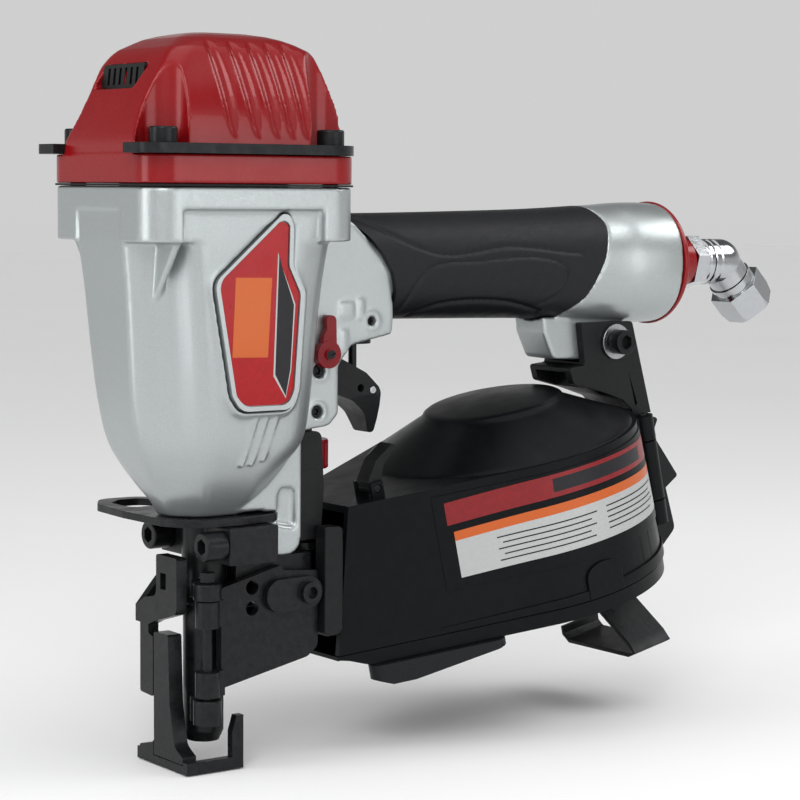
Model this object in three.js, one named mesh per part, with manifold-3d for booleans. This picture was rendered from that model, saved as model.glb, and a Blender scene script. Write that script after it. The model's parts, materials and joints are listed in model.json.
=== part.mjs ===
// Coil roofing nailer, millimetres, +Z up along the driver axis, +X rearward along the handle.
// Every piece is drawn about the driver axis (X = Y = 0) with Z = 0 at the contact foot's underside;
// the outer group then moves the whole tool so that its bounding box stands centred on the origin.
import * as THREE from 'three';
import { mergeVertices } from 'three/addons/utils/BufferGeometryUtils.js';
import Module from 'manifold-3d';
const wasm = await Module();
wasm.setup();

// ---------------------------------------------------------------- driving dimensions
const ORIGIN_X = 118.2, ORIGIN_Y = 0;               // centre of the bounding box in the driver-axis frame
const HEAD = { hx: 44, hy: 39, r: 12 };           // cylinder head outline
const Z_HEAD = 213, Z_SKIRT = 224.2, PLATE_T = 3.6;
const BOLT_X = 35, BOLT_Y = 30.6, BOLT_R = 3, BOLT_HEAD_R = 5, BOLT_HEAD_H = 5.6;
const CYL_BORE = 22.5, CYL_WALL = 2.5, CYL_Z0 = 108.2, CYL_Z1 = 206;
const HANDLE_Z = 183, HANDLE_END = 215, CHAMBER_R = 12.3;
const WEB_Y = 15, SLOT_Y = 10.3;                  // frame cheeks and the slot between them
const TRIG = { x: 41, z: 144.8 }, LEVER = { x: 70, z: 136 }, LOCK = { x: 43, z: 151.1 };
const VALVE_X = 66.5;
const ROD_X = 44.6;                               // contact-arm rod centre
const DOOR = { x: -7.5, y: -15 };                 // door hinge axis
const MAG = { x: 138.5, z: 111, tilt: 12.3 };     // magazine: centre of the drum's top edge, tilt about Y
const DRUM_TOP_R = 56, DRUM_BOT_R = 58.3, COVER_H = -54.9, BASE_H = -60.8;
const HINGE = { u: 62, y: -17 };                  // cover hinge axis in the magazine frame
const SWIVEL = { x: 257, z: 182.6 };              // centre of the air fitting's elbow

// ---------------------------------------------------------------- helpers
function solid(geometry) {
  let g = geometry.clone();
  for (const a of ['normal', 'uv', 'color']) if (g.attributes[a]) g.deleteAttribute(a);
  g = mergeVertices(g, 1e-4);
  const p = g.attributes.position.array, t = g.index.array, keep = [];
  let vol = 0;
  for (let i = 0; i < t.length; i += 3) {
    const [a, b, c] = [t[i], t[i + 1], t[i + 2]];
    if (a === b || b === c || a === c) continue;
    keep.push(a, b, c);
    const [ax, ay, az, bx, by, bz, cx, cy, cz] = [...p.slice(3 * a, 3 * a + 3), ...p.slice(3 * b, 3 * b + 3), ...p.slice(3 * c, 3 * c + 3)];
    vol += ax * (by * cz - bz * cy) - ay * (bx * cz - bz * cx) + az * (bx * cy - by * cx);
  }
  if (vol < 0) for (let i = 0; i < keep.length; i += 3) [keep[i + 1], keep[i + 2]] = [keep[i + 2], keep[i + 1]];
  return new wasm.Manifold(new wasm.Mesh({ numProp: 3, vertProperties: new Float32Array(p), triVerts: new Uint32Array(keep) }));
}
function surface(m) {
  const k = m.getMesh(), g = new THREE.BufferGeometry();
  g.setAttribute('position', new THREE.BufferAttribute(new Float32Array(k.vertProperties), 3));
  g.setIndex(new THREE.BufferAttribute(new Uint32Array(k.triVerts), 1));
  g.computeVertexNormals();
  return g;
}
const join = (a, ...b) => b.reduce((m, x) => m.add(x), a);
const cut = (a, ...b) => b.reduce((m, x) => m.subtract(x), a);
const box = (x0, x1, y0, y1, z0, z1) => solid(new THREE.BoxGeometry(x1 - x0, y1 - y0, z1 - z0).translate((x0 + x1) / 2, (y0 + y1) / 2, (z0 + z1) / 2));
function rod(r, p, q, n = 20, spin = 0, r2 = r) {   // cylinder, prism or cone between two points
  const a = new THREE.Vector3(...p), b = new THREE.Vector3(...q), d = b.clone().sub(a), g = new THREE.CylinderGeometry(r2, r, d.length(), n);
  g.rotateY(spin);
  g.applyQuaternion(new THREE.Quaternion().setFromUnitVectors(new THREE.Vector3(0, 1, 0), d.clone().normalize()));
  return solid(g.translate(...a.add(b).multiplyScalar(0.5).toArray()));
}
const rz = (r, x, y, z0, z1, n = 20) => rod(r, [x, y, z0], [x, y, z1], n);
const ry = (r, x, z, y0, y1, n = 20) => rod(r, [x, y0, z], [x, y1, z], n);
const rx = (r, y, z, x0, x1, n = 20) => rod(r, [x0, y, z], [x1, y, z], n);
// outline with rounded corners: [[x, y, radius], ...]
function rounded(list, seg = 4) {
  const out = [];
  list.forEach(([x, y, r = 0], i) => {
    if (!r) { out.push([x, y]); return; }
    const a = list[(i + list.length - 1) % list.length], b = list[(i + 1) % list.length];
    const u = new THREE.Vector2(a[0] - x, a[1] - y).normalize(), v = new THREE.Vector2(b[0] - x, b[1] - y).normalize();
    const half = Math.acos(THREE.MathUtils.clamp(u.dot(v), -1, 1)) / 2, cut = r / Math.tan(half);
    const p0 = [x + u.x * cut, y + u.y * cut], p1 = [x + v.x * cut, y + v.y * cut];
    const m = u.clone().add(v).normalize().multiplyScalar(r / Math.sin(half)), c = [x + m.x, y + m.y];
    const a0 = Math.atan2(p0[1] - c[1], p0[0] - c[0]);
    let da = Math.atan2(p1[1] - c[1], p1[0] - c[0]) - a0;
    while (da > Math.PI) da -= 2 * Math.PI;
    while (da < -Math.PI) da += 2 * Math.PI;
    for (let k = 0; k <= seg; k++) out.push([c[0] + r * Math.cos(a0 + da * k / seg), c[1] + r * Math.sin(a0 + da * k / seg)]);
  });
  return out;
}
function extrude(points, depth) {
  return new THREE.ExtrudeGeometry(new THREE.Shape(points.map(([x, y]) => new THREE.Vector2(x, y))), { depth, bevelEnabled: false, steps: 1 });
}
const plateZ = (pts, z0, z1) => solid(extrude(pts, z1 - z0).translate(0, 0, z0));
const plateY = (pts, y0, y1) => solid(extrude(pts, y1 - y0).rotateX(Math.PI / 2).translate(0, y1, 0));          // points are (x, z)
const plateX = (pts, x0, x1) => solid(extrude(pts, x1 - x0).applyMatrix4(new THREE.Matrix4().makeBasis(
  new THREE.Vector3(0, 1, 0), new THREE.Vector3(0, 0, 1), new THREE.Vector3(1, 0, 0))).translate(x0, 0, 0));      // points are (y, z)
const turn = (profile, n = 32) => solid(new THREE.LatheGeometry(profile.map(([r, z]) => new THREE.Vector2(r, z)), n).rotateX(Math.PI / 2));
const ringZ = (ro, ri, z0, z1, n = 32) => turn([[ri, z0], [ro, z0], [ro, z1], [ri, z1], [ri, z0]], n);
function loft(rings) {                              // rings: arrays of [x, y, z], same count, stacked
  const n = rings[0].length, pos = [], idx = [];
  rings.forEach(r => r.forEach(p => pos.push(...p)));
  for (let k = 0; k < rings.length - 1; k++) for (let i = 0; i < n; i++) {
    const a = k * n + i, b = k * n + (i + 1) % n, c = a + n, d = b + n;
    idx.push(a, b, d, a, d, c);
  }
  for (const [k, flip] of [[0, true], [rings.length - 1, false]]) {
    const c = [0, 1, 2].map(j => rings[k].reduce((s, p) => s + p[j], 0) / n), at = pos.length / 3;
    pos.push(...c);
    for (let i = 0; i < n; i++) {
      const a = k * n + i, b = k * n + (i + 1) % n;
      flip ? idx.push(at, b, a) : idx.push(at, a, b);
    }
  }
  const g = new THREE.BufferGeometry();
  g.setAttribute('position', new THREE.Float32BufferAttribute(pos, 3));
  g.setIndex(idx);
  return solid(g);
}
// rounded rectangle ring at height z: front reach f (towards -X), rear reach b, half width hy
function rr(f, b, hy, r, z, seg = 4) {
  const out = [];
  for (const [cx, cy, a] of [[b - r, hy - r, 0], [-f + r, hy - r, 90], [-f + r, -hy + r, 180], [b - r, -hy + r, 270]])
    for (let k = 0; k <= seg; k++) {
      const t = THREE.MathUtils.degToRad(a + 90 * k / seg);
      out.push([cx + r * Math.cos(t), cy + r * Math.sin(t), z]);
    }
  return out;
}
// oval ring across the handle at X: half height hz, half width hy
const oval = (x, hz, hy, zc = HANDLE_Z, n = 24) => Array.from({ length: n }, (_, i) => {
  const t = 2 * Math.PI * i / n, c = Math.cos(t), s = Math.sin(t), e = 0.86;
  return [x, hy * Math.sign(c) * Math.abs(c) ** e, zc + hz * Math.sign(s) * Math.abs(s) ** e];
});
// closed compression spring about +Z at (x, y)
function coil(x, y, z0, z1, R, wire, turns, per = 10) {
  const pts = [];
  const n = turns * per;
  for (let i = 0; i <= n; i++) {
    const t = 2 * Math.PI * i / per;
    pts.push(new THREE.Vector3(x + R * Math.cos(t), y + R * Math.sin(t), z0 + wire + (z1 - z0 - 2 * wire) * i / n));
  }
  const shape = new THREE.Shape(Array.from({ length: 6 }, (_, k) => new THREE.Vector2(wire * Math.cos(k * Math.PI / 3), wire * Math.sin(k * Math.PI / 3))));
  return solid(new THREE.ExtrudeGeometry(shape, { steps: n, bevelEnabled: false, extrudePath: new THREE.CatmullRomCurve3(pts) }));
}
const paint = (color, roughness, metalness) => new THREE.MeshStandardMaterial({ color, roughness, metalness });
const M = {
  silver: paint(0xc9cfcc, 0.35, 0.6), red: paint(0xb01218, 0.25, 0.1), black: paint(0x23262a, 0.45, 0.1),
  steel: paint(0x3a3f45, 0.4, 0.8), rubber: paint(0x1d1f22, 0.8, 0), chrome: paint(0xd8dde2, 0.15, 1),
  bright: paint(0xa8adb2, 0.3, 0.9), seal: paint(0x111111, 0.7, 0),
};
const tool = new THREE.Group(), magazine = new THREE.Group();
function part(name, m, material, group = tool) {
  const mesh = new THREE.Mesh(surface(m), material);
  mesh.name = name;
  group.add(mesh);
}

// ---------------------------------------------------------------- main housing
function hollowed(f, b, hy, r, z, d) {             // body ring whose two front corners are drawn in by d
  const ring = rr(f, b, hy, r, z), n = ring.length / 4;
  for (const q of [1, 2]) for (let k = 0; k < n; k++) {
    const w = d * Math.sin(Math.PI * k / (n - 1)) ** 2 / Math.SQRT2;
    ring[q * n + k][0] += w;
    ring[q * n + k][1] += q === 1 ? -w : w;
  }
  return ring;
}
const bodyRings = [
  [21, 20.5, 19.5, 15, 93.3, 1.5], [23.5, 26, 21.5, 16.5, 97.5, 2], [26.5, 29.5, 24, 18, 103, 3], [34, 33, 31, 21, 121, 5], [37, 35, 33, 22, 134, 6.5],
  [39, 36, 34.5, 22, 152, 7], [41, 38, 35.6, 21.8, 176, 7], [43, 40.5, 36.5, 21.5, 193.4, 7], [43, 40.7, 36.5, 21.5, 196, 7],
].map(k => hollowed(...k));
const topRings = [[43, 40.5, 36.5, 18.5, 193.4], [43.6, 42.5, 37.2, 16, Z_HEAD]].map(([f, b, hy, r, z]) => rr(f, b, hy, r, z));
const headOutline = rr(HEAD.hx, HEAD.hx, HEAD.hy, HEAD.r, 0).map(([x, y]) => [x, y]);
const headBlock = plateZ(headOutline, 193.4, Z_HEAD);
const lugs = join(box(-50, -31.5, -45, -16, 193.4, Z_HEAD), box(-50, -31.5, 16, 45, 193.4, Z_HEAD),
  box(27, 50, -45, -18, 193.4, Z_HEAD), box(27, 50, 18, 45, 193.4, Z_HEAD), box(-50, 50, -45, 45, 205, Z_HEAD)).intersect(headBlock);
// triangular ribs that carry the front lugs
const lugRib = s => plateX([[s * 37.6, 193.6], [s * 20, 193.6], [s * 20, 170]], -33.5, -31.5);
const webProfile = [[18, 124], [33, 122.6], [46, 124, 4], [50.3, 128.5, 4], [50, 146.3, 5], [56, 154, 5], [74.8, 157.6, 1.5], [75.3, 166],
  [74.6, 173.5], [72.4, 180.6], [68, 187.9], [62.6, 194.5], [56.8, 199.8], [52, 202.2], [18, 202.2]];
const web = plateY(rounded(webProfile, 3), -WEB_Y, WEB_Y);
const coreRings = [[38, 17.3, 14.6], [180, 19.6, 16.8], [HANDLE_END - 6, 20.5, 18], [HANDLE_END, 21, 18.5]].map(([x, hz, hy]) => oval(x, hz, hy));
const gripRings = (d = 0) => [[49, 20.2, 17.2], [75, 20.4, 17.6], [110, 21, 18.2], [150, 22, 19.4], [184, 23.7, 21.6]].map(([x, hz, hy]) => oval(x, hz + d, hy + d));
// outline of the rubber sleeve seen from the side: curved front edge, slanted rear edge
const gripSide = o => rounded([[51 + o, 210], [52.6 + o, 202.4], [57.4 + o, 200.1], [63.2 + o, 194.9], [68.7 + o, 188.2], [73.2 + o, 180.8], [75.4 + o, 173.6], [76 + o, 166], [76 + o, 155],
  [156 - o, 155], [160.5 - o, 163], [168 - o, 170], [175.5 - o, 185], [179 - o, 199], [176 - o, 206], [174 - o, 210]], 2);
const flareRings = [[150, 22, 19.4], [184, 23.8, 21.8], [195, 24.6, 23.6], [206, 24.9, 24.6], [HANDLE_END, 24.7, 24.6]].map(([x, hz, hy]) => oval(x, hz, hy, HANDLE_Z - 0.2));
const flare = cut(loft(flareRings), plateY(gripSide(-0.4), -40, 40));
const leg = cut(plateY(rounded([[5, 94], [17.5, 94], [17.5, 78.2], [25.5, 76.6], [33.9, 77, 6], [33.9, 126], [5, 126]], 4), -12, 12), box(0, 24, -20, 20, 90, 93.4));
const lug = cut(plateY(rounded([[153, 166], [153.5, 156], [159, 144.5, 3], [194.5, 143.2, 5], [195, 166]], 3), -9, 9),
  loft(gripRings(0.4)).intersect(plateY(gripSide(-0.4), -40, 40)));
let housing = join(loft(bodyRings), loft(topRings), lugs, lugRib(1), lugRib(-1), web, loft(coreRings), flare, leg, lug);
housing = cut(housing,
  turn([[0, 92], [9, 92], [9, 101.2], [20.8, 101.2], [20.8, 108], [25.3, 108], [25.3, 122], [28, 126], [28, 204], [31.6, 204], [31.6, 220], [0, 220]], 32), // cylinder bore
  rx(CHAMBER_R, 0, HANDLE_Z, 20, 220, 24), rx(19.1, 0, HANDLE_Z - 0.4, 202.5, 220, 28),                                                                       // air chamber
  box(36.4, 62, -SLOT_Y, SLOT_Y, 112, 152.4), box(34.2, 48, -SLOT_Y, SLOT_Y, 112, 140),                                                                // trigger and rod slot
  rz(6.4, VALVE_X, 0, 140, 176, 24), rz(7.3, VALVE_X, 0, 140, 155.5, 24),                                                                                                                  // trigger valve bore
  ry(2.7, TRIG.x, TRIG.z, -20, 20, 16), ry(2.45, 40.4, 129.5, -20, 20, 16), ry(4, TRIG.x, TRIG.z, -20, -14.2, 16), ry(4, 40.4, 129.5, -20, -14.2, 16),
  ry(1.9, 65, 162.8, -20, -12.6, 16), ry(2.4, LOCK.x, LOCK.z, -20, 0, 16),
  ry(4.2, 188, 151.1, -20, 20, 16), plateY([[24, 86], [31.5, 86], [31.5, 101], [28, 103], [24, 98]], -20, -9),                                         // bracket bolt hole, leg pocket
);
for (const sx of [-1, 1]) for (const sy of [-1, 1]) housing = cut(housing, rz(3.2, sx * BOLT_X, sy * BOLT_Y, 198, 230, 12));
// shallow seats for the side badges
const badge = o => rounded([[12.5, 205.5 + o, 3], [15 + o, 199, 6], [14.6 + o, 185, 6], [19.6 + o, 175, 4], [17 + o, 140.5, 6], [14.5 + o, 133.5 - o, 5], [-7 - o, 133.5 - o, 6], [-10.8 - o, 139, 5], [-18 - o, 179.5, 6]], 3);
housing = cut(housing, plateY(badge(0.5), -60, -31.2), plateY(badge(0.5), 31.2, 60));
part('main_housing', housing, M.silver);
part('side_badge_right', plateY(badge(0), -37.4, -31.5), M.red);
part('side_badge_left', plateY(badge(0), 31.5, 37.4), M.red);

// ---------------------------------------------------------------- cylinder head
const boltHoles = (m, r, z0, z1) => [-1, 1].reduce((a, sx) => [-1, 1].reduce((b, sy) => cut(b, rz(r, sx * BOLT_X, sy * BOLT_Y, z0, z1, 12)), a), m);
part('cap_gasket', boltHoles(cut(plateZ(rr(44.7, 44.7, 39.7, 12.4, 0).map(([x, y]) => [x, y]), Z_HEAD + 0.05, Z_HEAD + 0.8), rz(32, 0, 0, 200, 220, 40)), 3.2, 200, 220), M.seal);
const plateOutline = [...rounded([[45.5, 42, 17], [-48, 42, 7], [-48, -42, 7], [45.5, -42, 17]], 4)];
const plateShape = d => cut(plateZ(plateOutline, Z_SKIRT + 0.15 - d, Z_SKIRT + 0.15 + PLATE_T + d),
  box(-60, -27 - d, -25.4 + d, 25.4 - d, 200, 250), box(-60, 37 - d, -22 + d, 22 - d, 200, 250), box(-27.5 + d, 27.5 - d, -33 + d, 33 - d, 200, 250));
part('bumper_plate', boltHoles(plateShape(0), 3.2, 200, 250), M.steel);
let cap = join(plateZ(rr(44.2, 44.2, 39.2, 12, 0).map(([x, y]) => [x, y]), Z_HEAD + 0.9, Z_SKIRT), loft([
  rr(43.6, 43.6, 32.7, 8, Z_SKIRT - 1), rr(43.2, 43.4, 32.7, 8, 229), rr(38.5, 42.4, 32.2, 8, 240), rr(33.5, 39.4, 29.8, 7, 250), rr(28.2, 35.2, 26.2, 7, 258.6),
  rr(25, 32.6, 24, 7, 262), rr(18, 25.4, 18.5, 7, 265.8), rr(11, 17, 12, 6, 268)]));
for (const sx of [-1, 1]) for (const sy of [-1, 1]) cap = cut(cap, rz(9.6, sx * (BOLT_X + 0.4), sy * (BOLT_Y + 0.4), Z_SKIRT, 280, 24));
cap = cut(cap, plateShape(0.2), turn([[0, 200], [31.6, 200], [31.6, 231], [25, 237], [14, 240], [14, 250], [0, 252]], 28),
  plateX(rounded([[-9, 247.5, 2], [21, 247.5, 2], [17.5, 256.5, 2], [-12, 256.5, 2]], 3), -50, -6));
part('cylinder_cap', boltHoles(cap, 3.2, 200, Z_SKIRT + 1), M.red);
let bi = 0;
for (const sx of [-1, 1]) for (const sy of [-1, 1]) {
  const z = Z_SKIRT + 0.15 + PLATE_T + 0.1, x = sx * BOLT_X, y = sy * BOLT_Y;
  part(`cap_bolt_${++bi}`, cut(join(rz(BOLT_HEAD_R, x, y, z, z + BOLT_HEAD_H, 24), rz(2.9, x, y, 200, z + 1, 12)), rz(2.9, x, y, z + 2.4, z + 9, 6)), M.steel);
}

// ---------------------------------------------------------------- inside the cylinder
part('cylinder_sleeve', ringZ(CYL_BORE + CYL_WALL, CYL_BORE, CYL_Z0, CYL_Z1, 40), M.bright);
part('sleeve_seal', ringZ(27.7, 25.2, 196, 200, 36), M.seal);
part('bumper', turn([[5, 101.5], [20.4, 101.5], [20.4, 107.7], [21.6, 109], [19, 121], [8, 121], [5, 117], [5, 101.5]], 28), M.rubber);
part('piston', cut(turn([[0, 181], [8, 181], [8, 190], [22.2, 190], [22.2, 192.6], [20, 192.6], [20, 195.4], [22.2, 195.4], [22.2, 199], [0, 199]], 32), rz(3.3, 0, 0, 170, 194, 16)), M.bright);
part('piston_ring', ringZ(22.35, 20.2, 192.8, 195.2, 32), M.seal);
part('driver_blade', join(rz(3, 0, 0, 178, 193.6, 16), rz(2.6, 0, 0, 68, 178.5, 16)), M.bright);
part('head_valve', turn([[0, 206.4], [26, 206.4], [26, 209], [30.8, 209], [30.8, 217], [27.5, 217], [27.5, 212], [9, 212], [9, 227], [0, 227]], 32), M.black);
part('head_valve_spring', coil(0, 0, 212.3, 238.5, 11, 1.1, 4, 10), M.bright);

// ---------------------------------------------------------------- handle
part('handle_grip', cut(loft(gripRings(0)), loft([[40, 17.6, 14.9], [180, 19.9, 17.1], [190, 20.1, 17.3]].map(([x, hz, hy]) => oval(x, hz, hy)))).intersect(plateY(gripSide(0), -40, 40)), M.rubber);
part('end_cap', cut(join(
  solid(new THREE.LatheGeometry([[0, 203], [18.7, 203], [18.7, 215.3], [25.4, 215.3], [25.6, 218.5], [24.2, 221], [17, 225], [12.4, 227.6], [10.8, 230], [10.6, 236], [0, 236]].map(([r, x]) => new THREE.Vector2(r, x)), 40)
    .applyMatrix4(new THREE.Matrix4().makeBasis(new THREE.Vector3(0, 1, 0), new THREE.Vector3(1, 0, 0), new THREE.Vector3(0, 0, -1))).translate(0, 0, HANDLE_Z - 0.4))),
  rx(5.4, 0, HANDLE_Z - 0.4, 190, 240, 16), rx(14, 0, HANDLE_Z - 0.4, 190, 214, 24)), M.red);
const SZ = SWIVEL.z, dx = Math.SQRT1_2;
const along = s => [SWIVEL.x + dx * s, 0, SZ - dx * s];
part('swivel_nut', cut(join(rx(11.6, 0, SZ, 236.3, 243, 6), rx(9.5, 0, SZ, 242.5, 247.6, 32), rx(5.5, 0, SZ, 247, 252.5, 20), rx(5.1, 0, SZ, 226, 237, 16)), rx(3, 0, SZ, 220, 260, 12)), M.chrome);
part('swivel_elbow', cut(join(rx(9.7, 0, SZ, 248, 257, 32), solid(new THREE.SphereGeometry(9.7, 20, 10).translate(SWIVEL.x, 0, SZ)), rod(8.8, along(0), along(9.6), 28)),
  rx(5.8, 0, SZ, 240, 253, 20), rx(3, 0, SZ, 250, 258, 12), rod(3, along(0), along(20), 12), rod(5.4, along(4.5), along(20), 20)), M.chrome);
part('swivel_coupler', cut(join(rod(9.6, along(9.9), along(14.5), 6, 0.52), rod(12.2, along(14), along(27), 6, 0.52), rod(5, along(5), along(11), 20)), rod(3, along(0), along(30), 12), rod(6, along(15), along(30), 20)), M.chrome);

// ---------------------------------------------------------------- trigger group
let trigger = plateY(rounded([[37.2, 142, 3], [38, 149, 3], [52, 150, 3], [57, 148.9], [70, 142.8, 3], [74.8, 138, 3], [74.6, 128], [72.4, 120.4, 1.5], [69.6, 119.6, 1.5],
  [67, 123.4], [63.6, 128.6], [59, 132], [52.6, 134.6], [46, 138.6], [41, 141]], 3), -9, 9);
trigger = cut(trigger, plateY([[30, 160], [66, 160], [73.3, 139.6], [73.2, 132.6], [65, 131.2], [59, 136], [50.5, 139], [30, 143.5]], -5.4, 5.4),
  box(40.5, 50, -5.4, 5.4, 125, 150), ry(2.7, TRIG.x, TRIG.z, -20, 20, 16), ry(1.7, LEVER.x, LEVER.z, -20, 20, 14), ry(1.5, 64.2, 137, -20, -5, 14));
part('trigger', trigger, M.black);
part('trigger_pin', ry(2.5, TRIG.x, TRIG.z, -14, 14, 18), M.steel);
part('frame_pin', ry(2.2, 40.4, 129.5, -14, 14, 18), M.steel);
part('lever_pin', ry(1.5, LEVER.x, LEVER.z, -9.2, 9.2, 14), M.bright);
part('contact_lever', cut(plateY(rounded([[72.7, 134, 1.5], [72.7, 139, 1.5], [66, 141.2], [46.2, 143.4], [46.2, 140.2], [62, 137.6], [68, 133.6, 1.5]], 3), -4.6, 4.6), ry(1.7, LEVER.x, LEVER.z, -20, 20, 14)), M.steel);
part('trigger_valve_body', cut(join(rz(6.1, VALVE_X, 0, 155, 171.5, 24), rz(7, VALVE_X, 0, 153.6, 155.2, 24)), rz(1.9, VALVE_X, 0, 150, 168, 12), rz(3.4, VALVE_X, 0, 158, 168, 12), rz(1.2, VALVE_X, 0, 160, 180, 8)).subtract(box(40, 90, -20, 20, 155.2, 158).subtract(rz(6.1, VALVE_X, 0, 150, 160, 24))), M.bright);
part('trigger_valve_stem', join(rz(1.6, VALVE_X, 0, 142.6, 163.6, 12), rz(3.1, VALVE_X, 0, 160, 163, 12)), M.bright);
let lock = plateY(rounded([[40.4, 151, 1], [40.9, 165.6, 2.4], [46.1, 165.8, 2.4], [46, 151, 1]], 4), -19, -15.4);
lock = join(lock, ry(5.2, LOCK.x, LOCK.z, -19, -15.4, 28), ry(2.1, LOCK.x, LOCK.z, -16, -11, 14), ry(2, LOCK.x, LOCK.z, -19.8, -18, 14));
part('lock_lever', lock, M.red);

// ---------------------------------------------------------------- contact arm and its guide
part('guide_tube_cover', cut(plateY(rounded([[34.4, 81, 1], [34.4, 121.6, 1], [45.6, 121.8, 3], [46.8, 100], [45.4, 81, 1]], 3), -10, 10),
  rz(6.4, ROD_X, 0, 70, 100, 20), rz(4.1, ROD_X, 0, 90, 130, 20), rz(9.4, ROD_X, 0, 106.6, 118.4, 32), box(ROD_X, 60, -6, 6, 70, 96)), M.black);
part('depth_dial', cut(rz(9, ROD_X, 0, 107, 118, 24), rz(4.1, ROD_X, 0, 100, 120, 20)), M.red);
part('contact_spring', coil(ROD_X, 0, 79.2, 99.8, 4.5, 0.75, 6, 8), M.bright);
const frontBar = plateX(rounded([[-4.5, 49.5, 1], [5.8, 49.5, 1], [5.8, 3.4], [-14.8, 3.4], [-14.8, 6], [-9, 9], [-5.6, 24]], 2), -18, -12.2);
const sideBar = plateX(rounded([[5.4, 59.2], [19.2, 59.2, 1], [19.2, 67.8, 1], [4, 67.8, 3], [4, 78.6, 1], [-10.6, 78.6, 1], [-10.6, 58, 3], [5.4, 52]], 3), -18, -13.6);
const leftBar = plateX(rounded([[6.4, 25, 1], [15.8, 25.6, 1], [15.8, 62], [6.4, 62]], 2), -18, -13.6);
let arm = join(plateX([[5.2, 20], [6.6, 20], [6.6, 48], [5.2, 48]], -17, -13.6), frontBar, sideBar, leftBar,
  box(-18, 47.4, 15.8, 19.2, 59.2, 67.8), box(42, 47.4, -3, 19.2, 59.2, 67.8), box(ROD_X - 1.6, ROD_X + 1.4, -3, 3, 59.2, 131.4), rz(5.6, ROD_X, 0, 76, 78.8, 20));
arm = cut(arm, box(-30, -10, -3, 1, 66, 72));
part('contact_arm', arm, M.steel);
let foot = join(plateX(rounded([[-16, 0, 2], [16.2, 0, 3], [16.2, 5.6, 1], [6, 8, 2], [5.9, 19], [5.6, 3.1], [-15, 3.1], [-16, 3]], 2), -18, -12.4),
  box(-18, 6, -18.2, -14.9, 0, 4.4), plateY([[1.2, 2], [6, 2], [6, 19.8], [3, 19.8], [1.2, 14]], -18.2, -14.9), box(-18, -3, 15, 18, 0, 4.4));
foot = cut(foot, box(-30, -5, -15, 6.2, 3.1, 30));
part('contact_foot', foot, M.steel);

// ---------------------------------------------------------------- nose
const flangeOutline = rounded([[21, -17, 4], [23.5, -14, 2], [20, 12], [14, 24, 6], [13, 42, 10], [2, 54, 10], [-14, 54.5, 8], [-21.5, 42, 6], [-23, 20, 8], [-22, -8, 10], [-15, -19, 10], [4, -21, 8]], 3);
const flangeSlot = rounded([[-15, 27, 4], [-15.5, 42, 5], [-9, 48.5, 5], [0, 48.5, 6], [7.5, 38, 6], [8, 27, 4]], 3);
part('nose_flange_plate', cut(plateZ(flangeOutline, 90.3, 93), plateZ(flangeSlot, 80, 100), rz(8.6, 0, 0, 80, 100, 24)), M.steel);
let nose = join(box(-3.8, 17.1, -24.6, 24.6, 76.4, 90), rz(8.2, 0, 0, 60, 90, 28), rz(7.7, 0, 0, 12, 61, 28), rod(6.4, [0, 0, 8.2], [0, 0, 12.1], 28, 0, 7.7),
  box(-9.4, -1.5, -12, -5.5, 63.2, 69.4), box(-9.4, -1.5, -12, -5.5, 17.2, 26.4), rz(5.2, DOOR.x, DOOR.y, 63.2, 69.4, 20), rz(5.2, DOOR.x, DOOR.y, 17.2, 26.4, 20),
  plateY([[0, 30], [41.6, 38.8], [41.6, 76.3], [8, 76.5], [8, 68], [0, 68]], 6.2, 9.8), box(8, 41.6, -9.6, 9.8, 68, 76.2));
nose = cut(nose, rz(5.7, 0, 0, 0, 66, 24), rz(3, 0, 0, 60, 100, 16), box(0, 20, -5.6, 5.6, 0, 66), rz(1.9, DOOR.x, DOOR.y, 10, 80, 14),
  box(3, 27, 5, 12, 45.6, 54.4), rx(3.1, 19.1, 83.4, -10, 16, 14), rx(3.1, -19.1, 83.4, -10, 16, 14), box(36, 50, -6.8, 6.8, 60, 80).subtract(box(36, 37.4, -8, 8, 60, 80)));
part('nose_body', nose, M.steel);
for (const [i, s] of [[1, 1], [2, -1]])
  part(`nose_bolt_${i}`, cut(join(rx(5.4, s * 19.1, 83.4, -12.7, -4.1, 28), rx(2.8, s * 19.1, 83.4, -5, 15, 14)), rx(3, s * 19.1, 83.4, -14, -9.4, 6)), M.steel);
let door = join(plateY(rounded([[-1, 29.4, 1], [-1, 66.6, 1], [3, 67.6], [25, 73, 0.6], [26.2, 70.9], [41.6, 69.8, 1], [41.6, 41, 3], [37, 37.4]], 2), -14, -10.4),
  box(-7.5, -0.6, -16, -11, 53, 62.7), box(-7.5, -0.6, -16, -11, 27.4, 36.7), rz(4.5, DOOR.x, DOOR.y, 53, 62.7, 20), rz(4.5, DOOR.x, DOOR.y, 27.4, 36.7, 20));
door = cut(door, rz(1.9, DOOR.x, DOOR.y, 10, 80, 14), ry(2.7, 12.4, 66.8 - 1, -20, -5, 16), ry(2.7, 12.4, 58, -20, -5, 16), ry(2, 35.7, 62.3, -20, -5, 14));
part('nose_door', door, M.steel);
part('door_hinge_pin', join(rz(1.7, DOOR.x, DOOR.y, 16.6, 71, 14), rz(3.1, DOOR.x, DOOR.y, 69.7, 73.4, 6)), M.bright);
part('door_latch', cut(join(plateY(rounded([[17.2, 55.6, 6.1], [17.2, 68, 6.1], [41.8, 68.4, 6.1], [41.8, 56.2, 6.1]], 4), -16.8, -14.3), ry(4.2, 35.7, 62.3, -19.4, -16, 24), ry(1.8, 35.7, 62.3, -15, -10.6, 14)), ry(2.2, 35.7, 62.3, -20, -17, 12)), M.steel);
part('latch_post', plateY(rounded([[42.2, 44.6, 2], [42.2, 86.4, 1], [50.6, 86.2, 2], [50.6, 45, 3]], 3), -18, -11), M.black);

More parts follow.
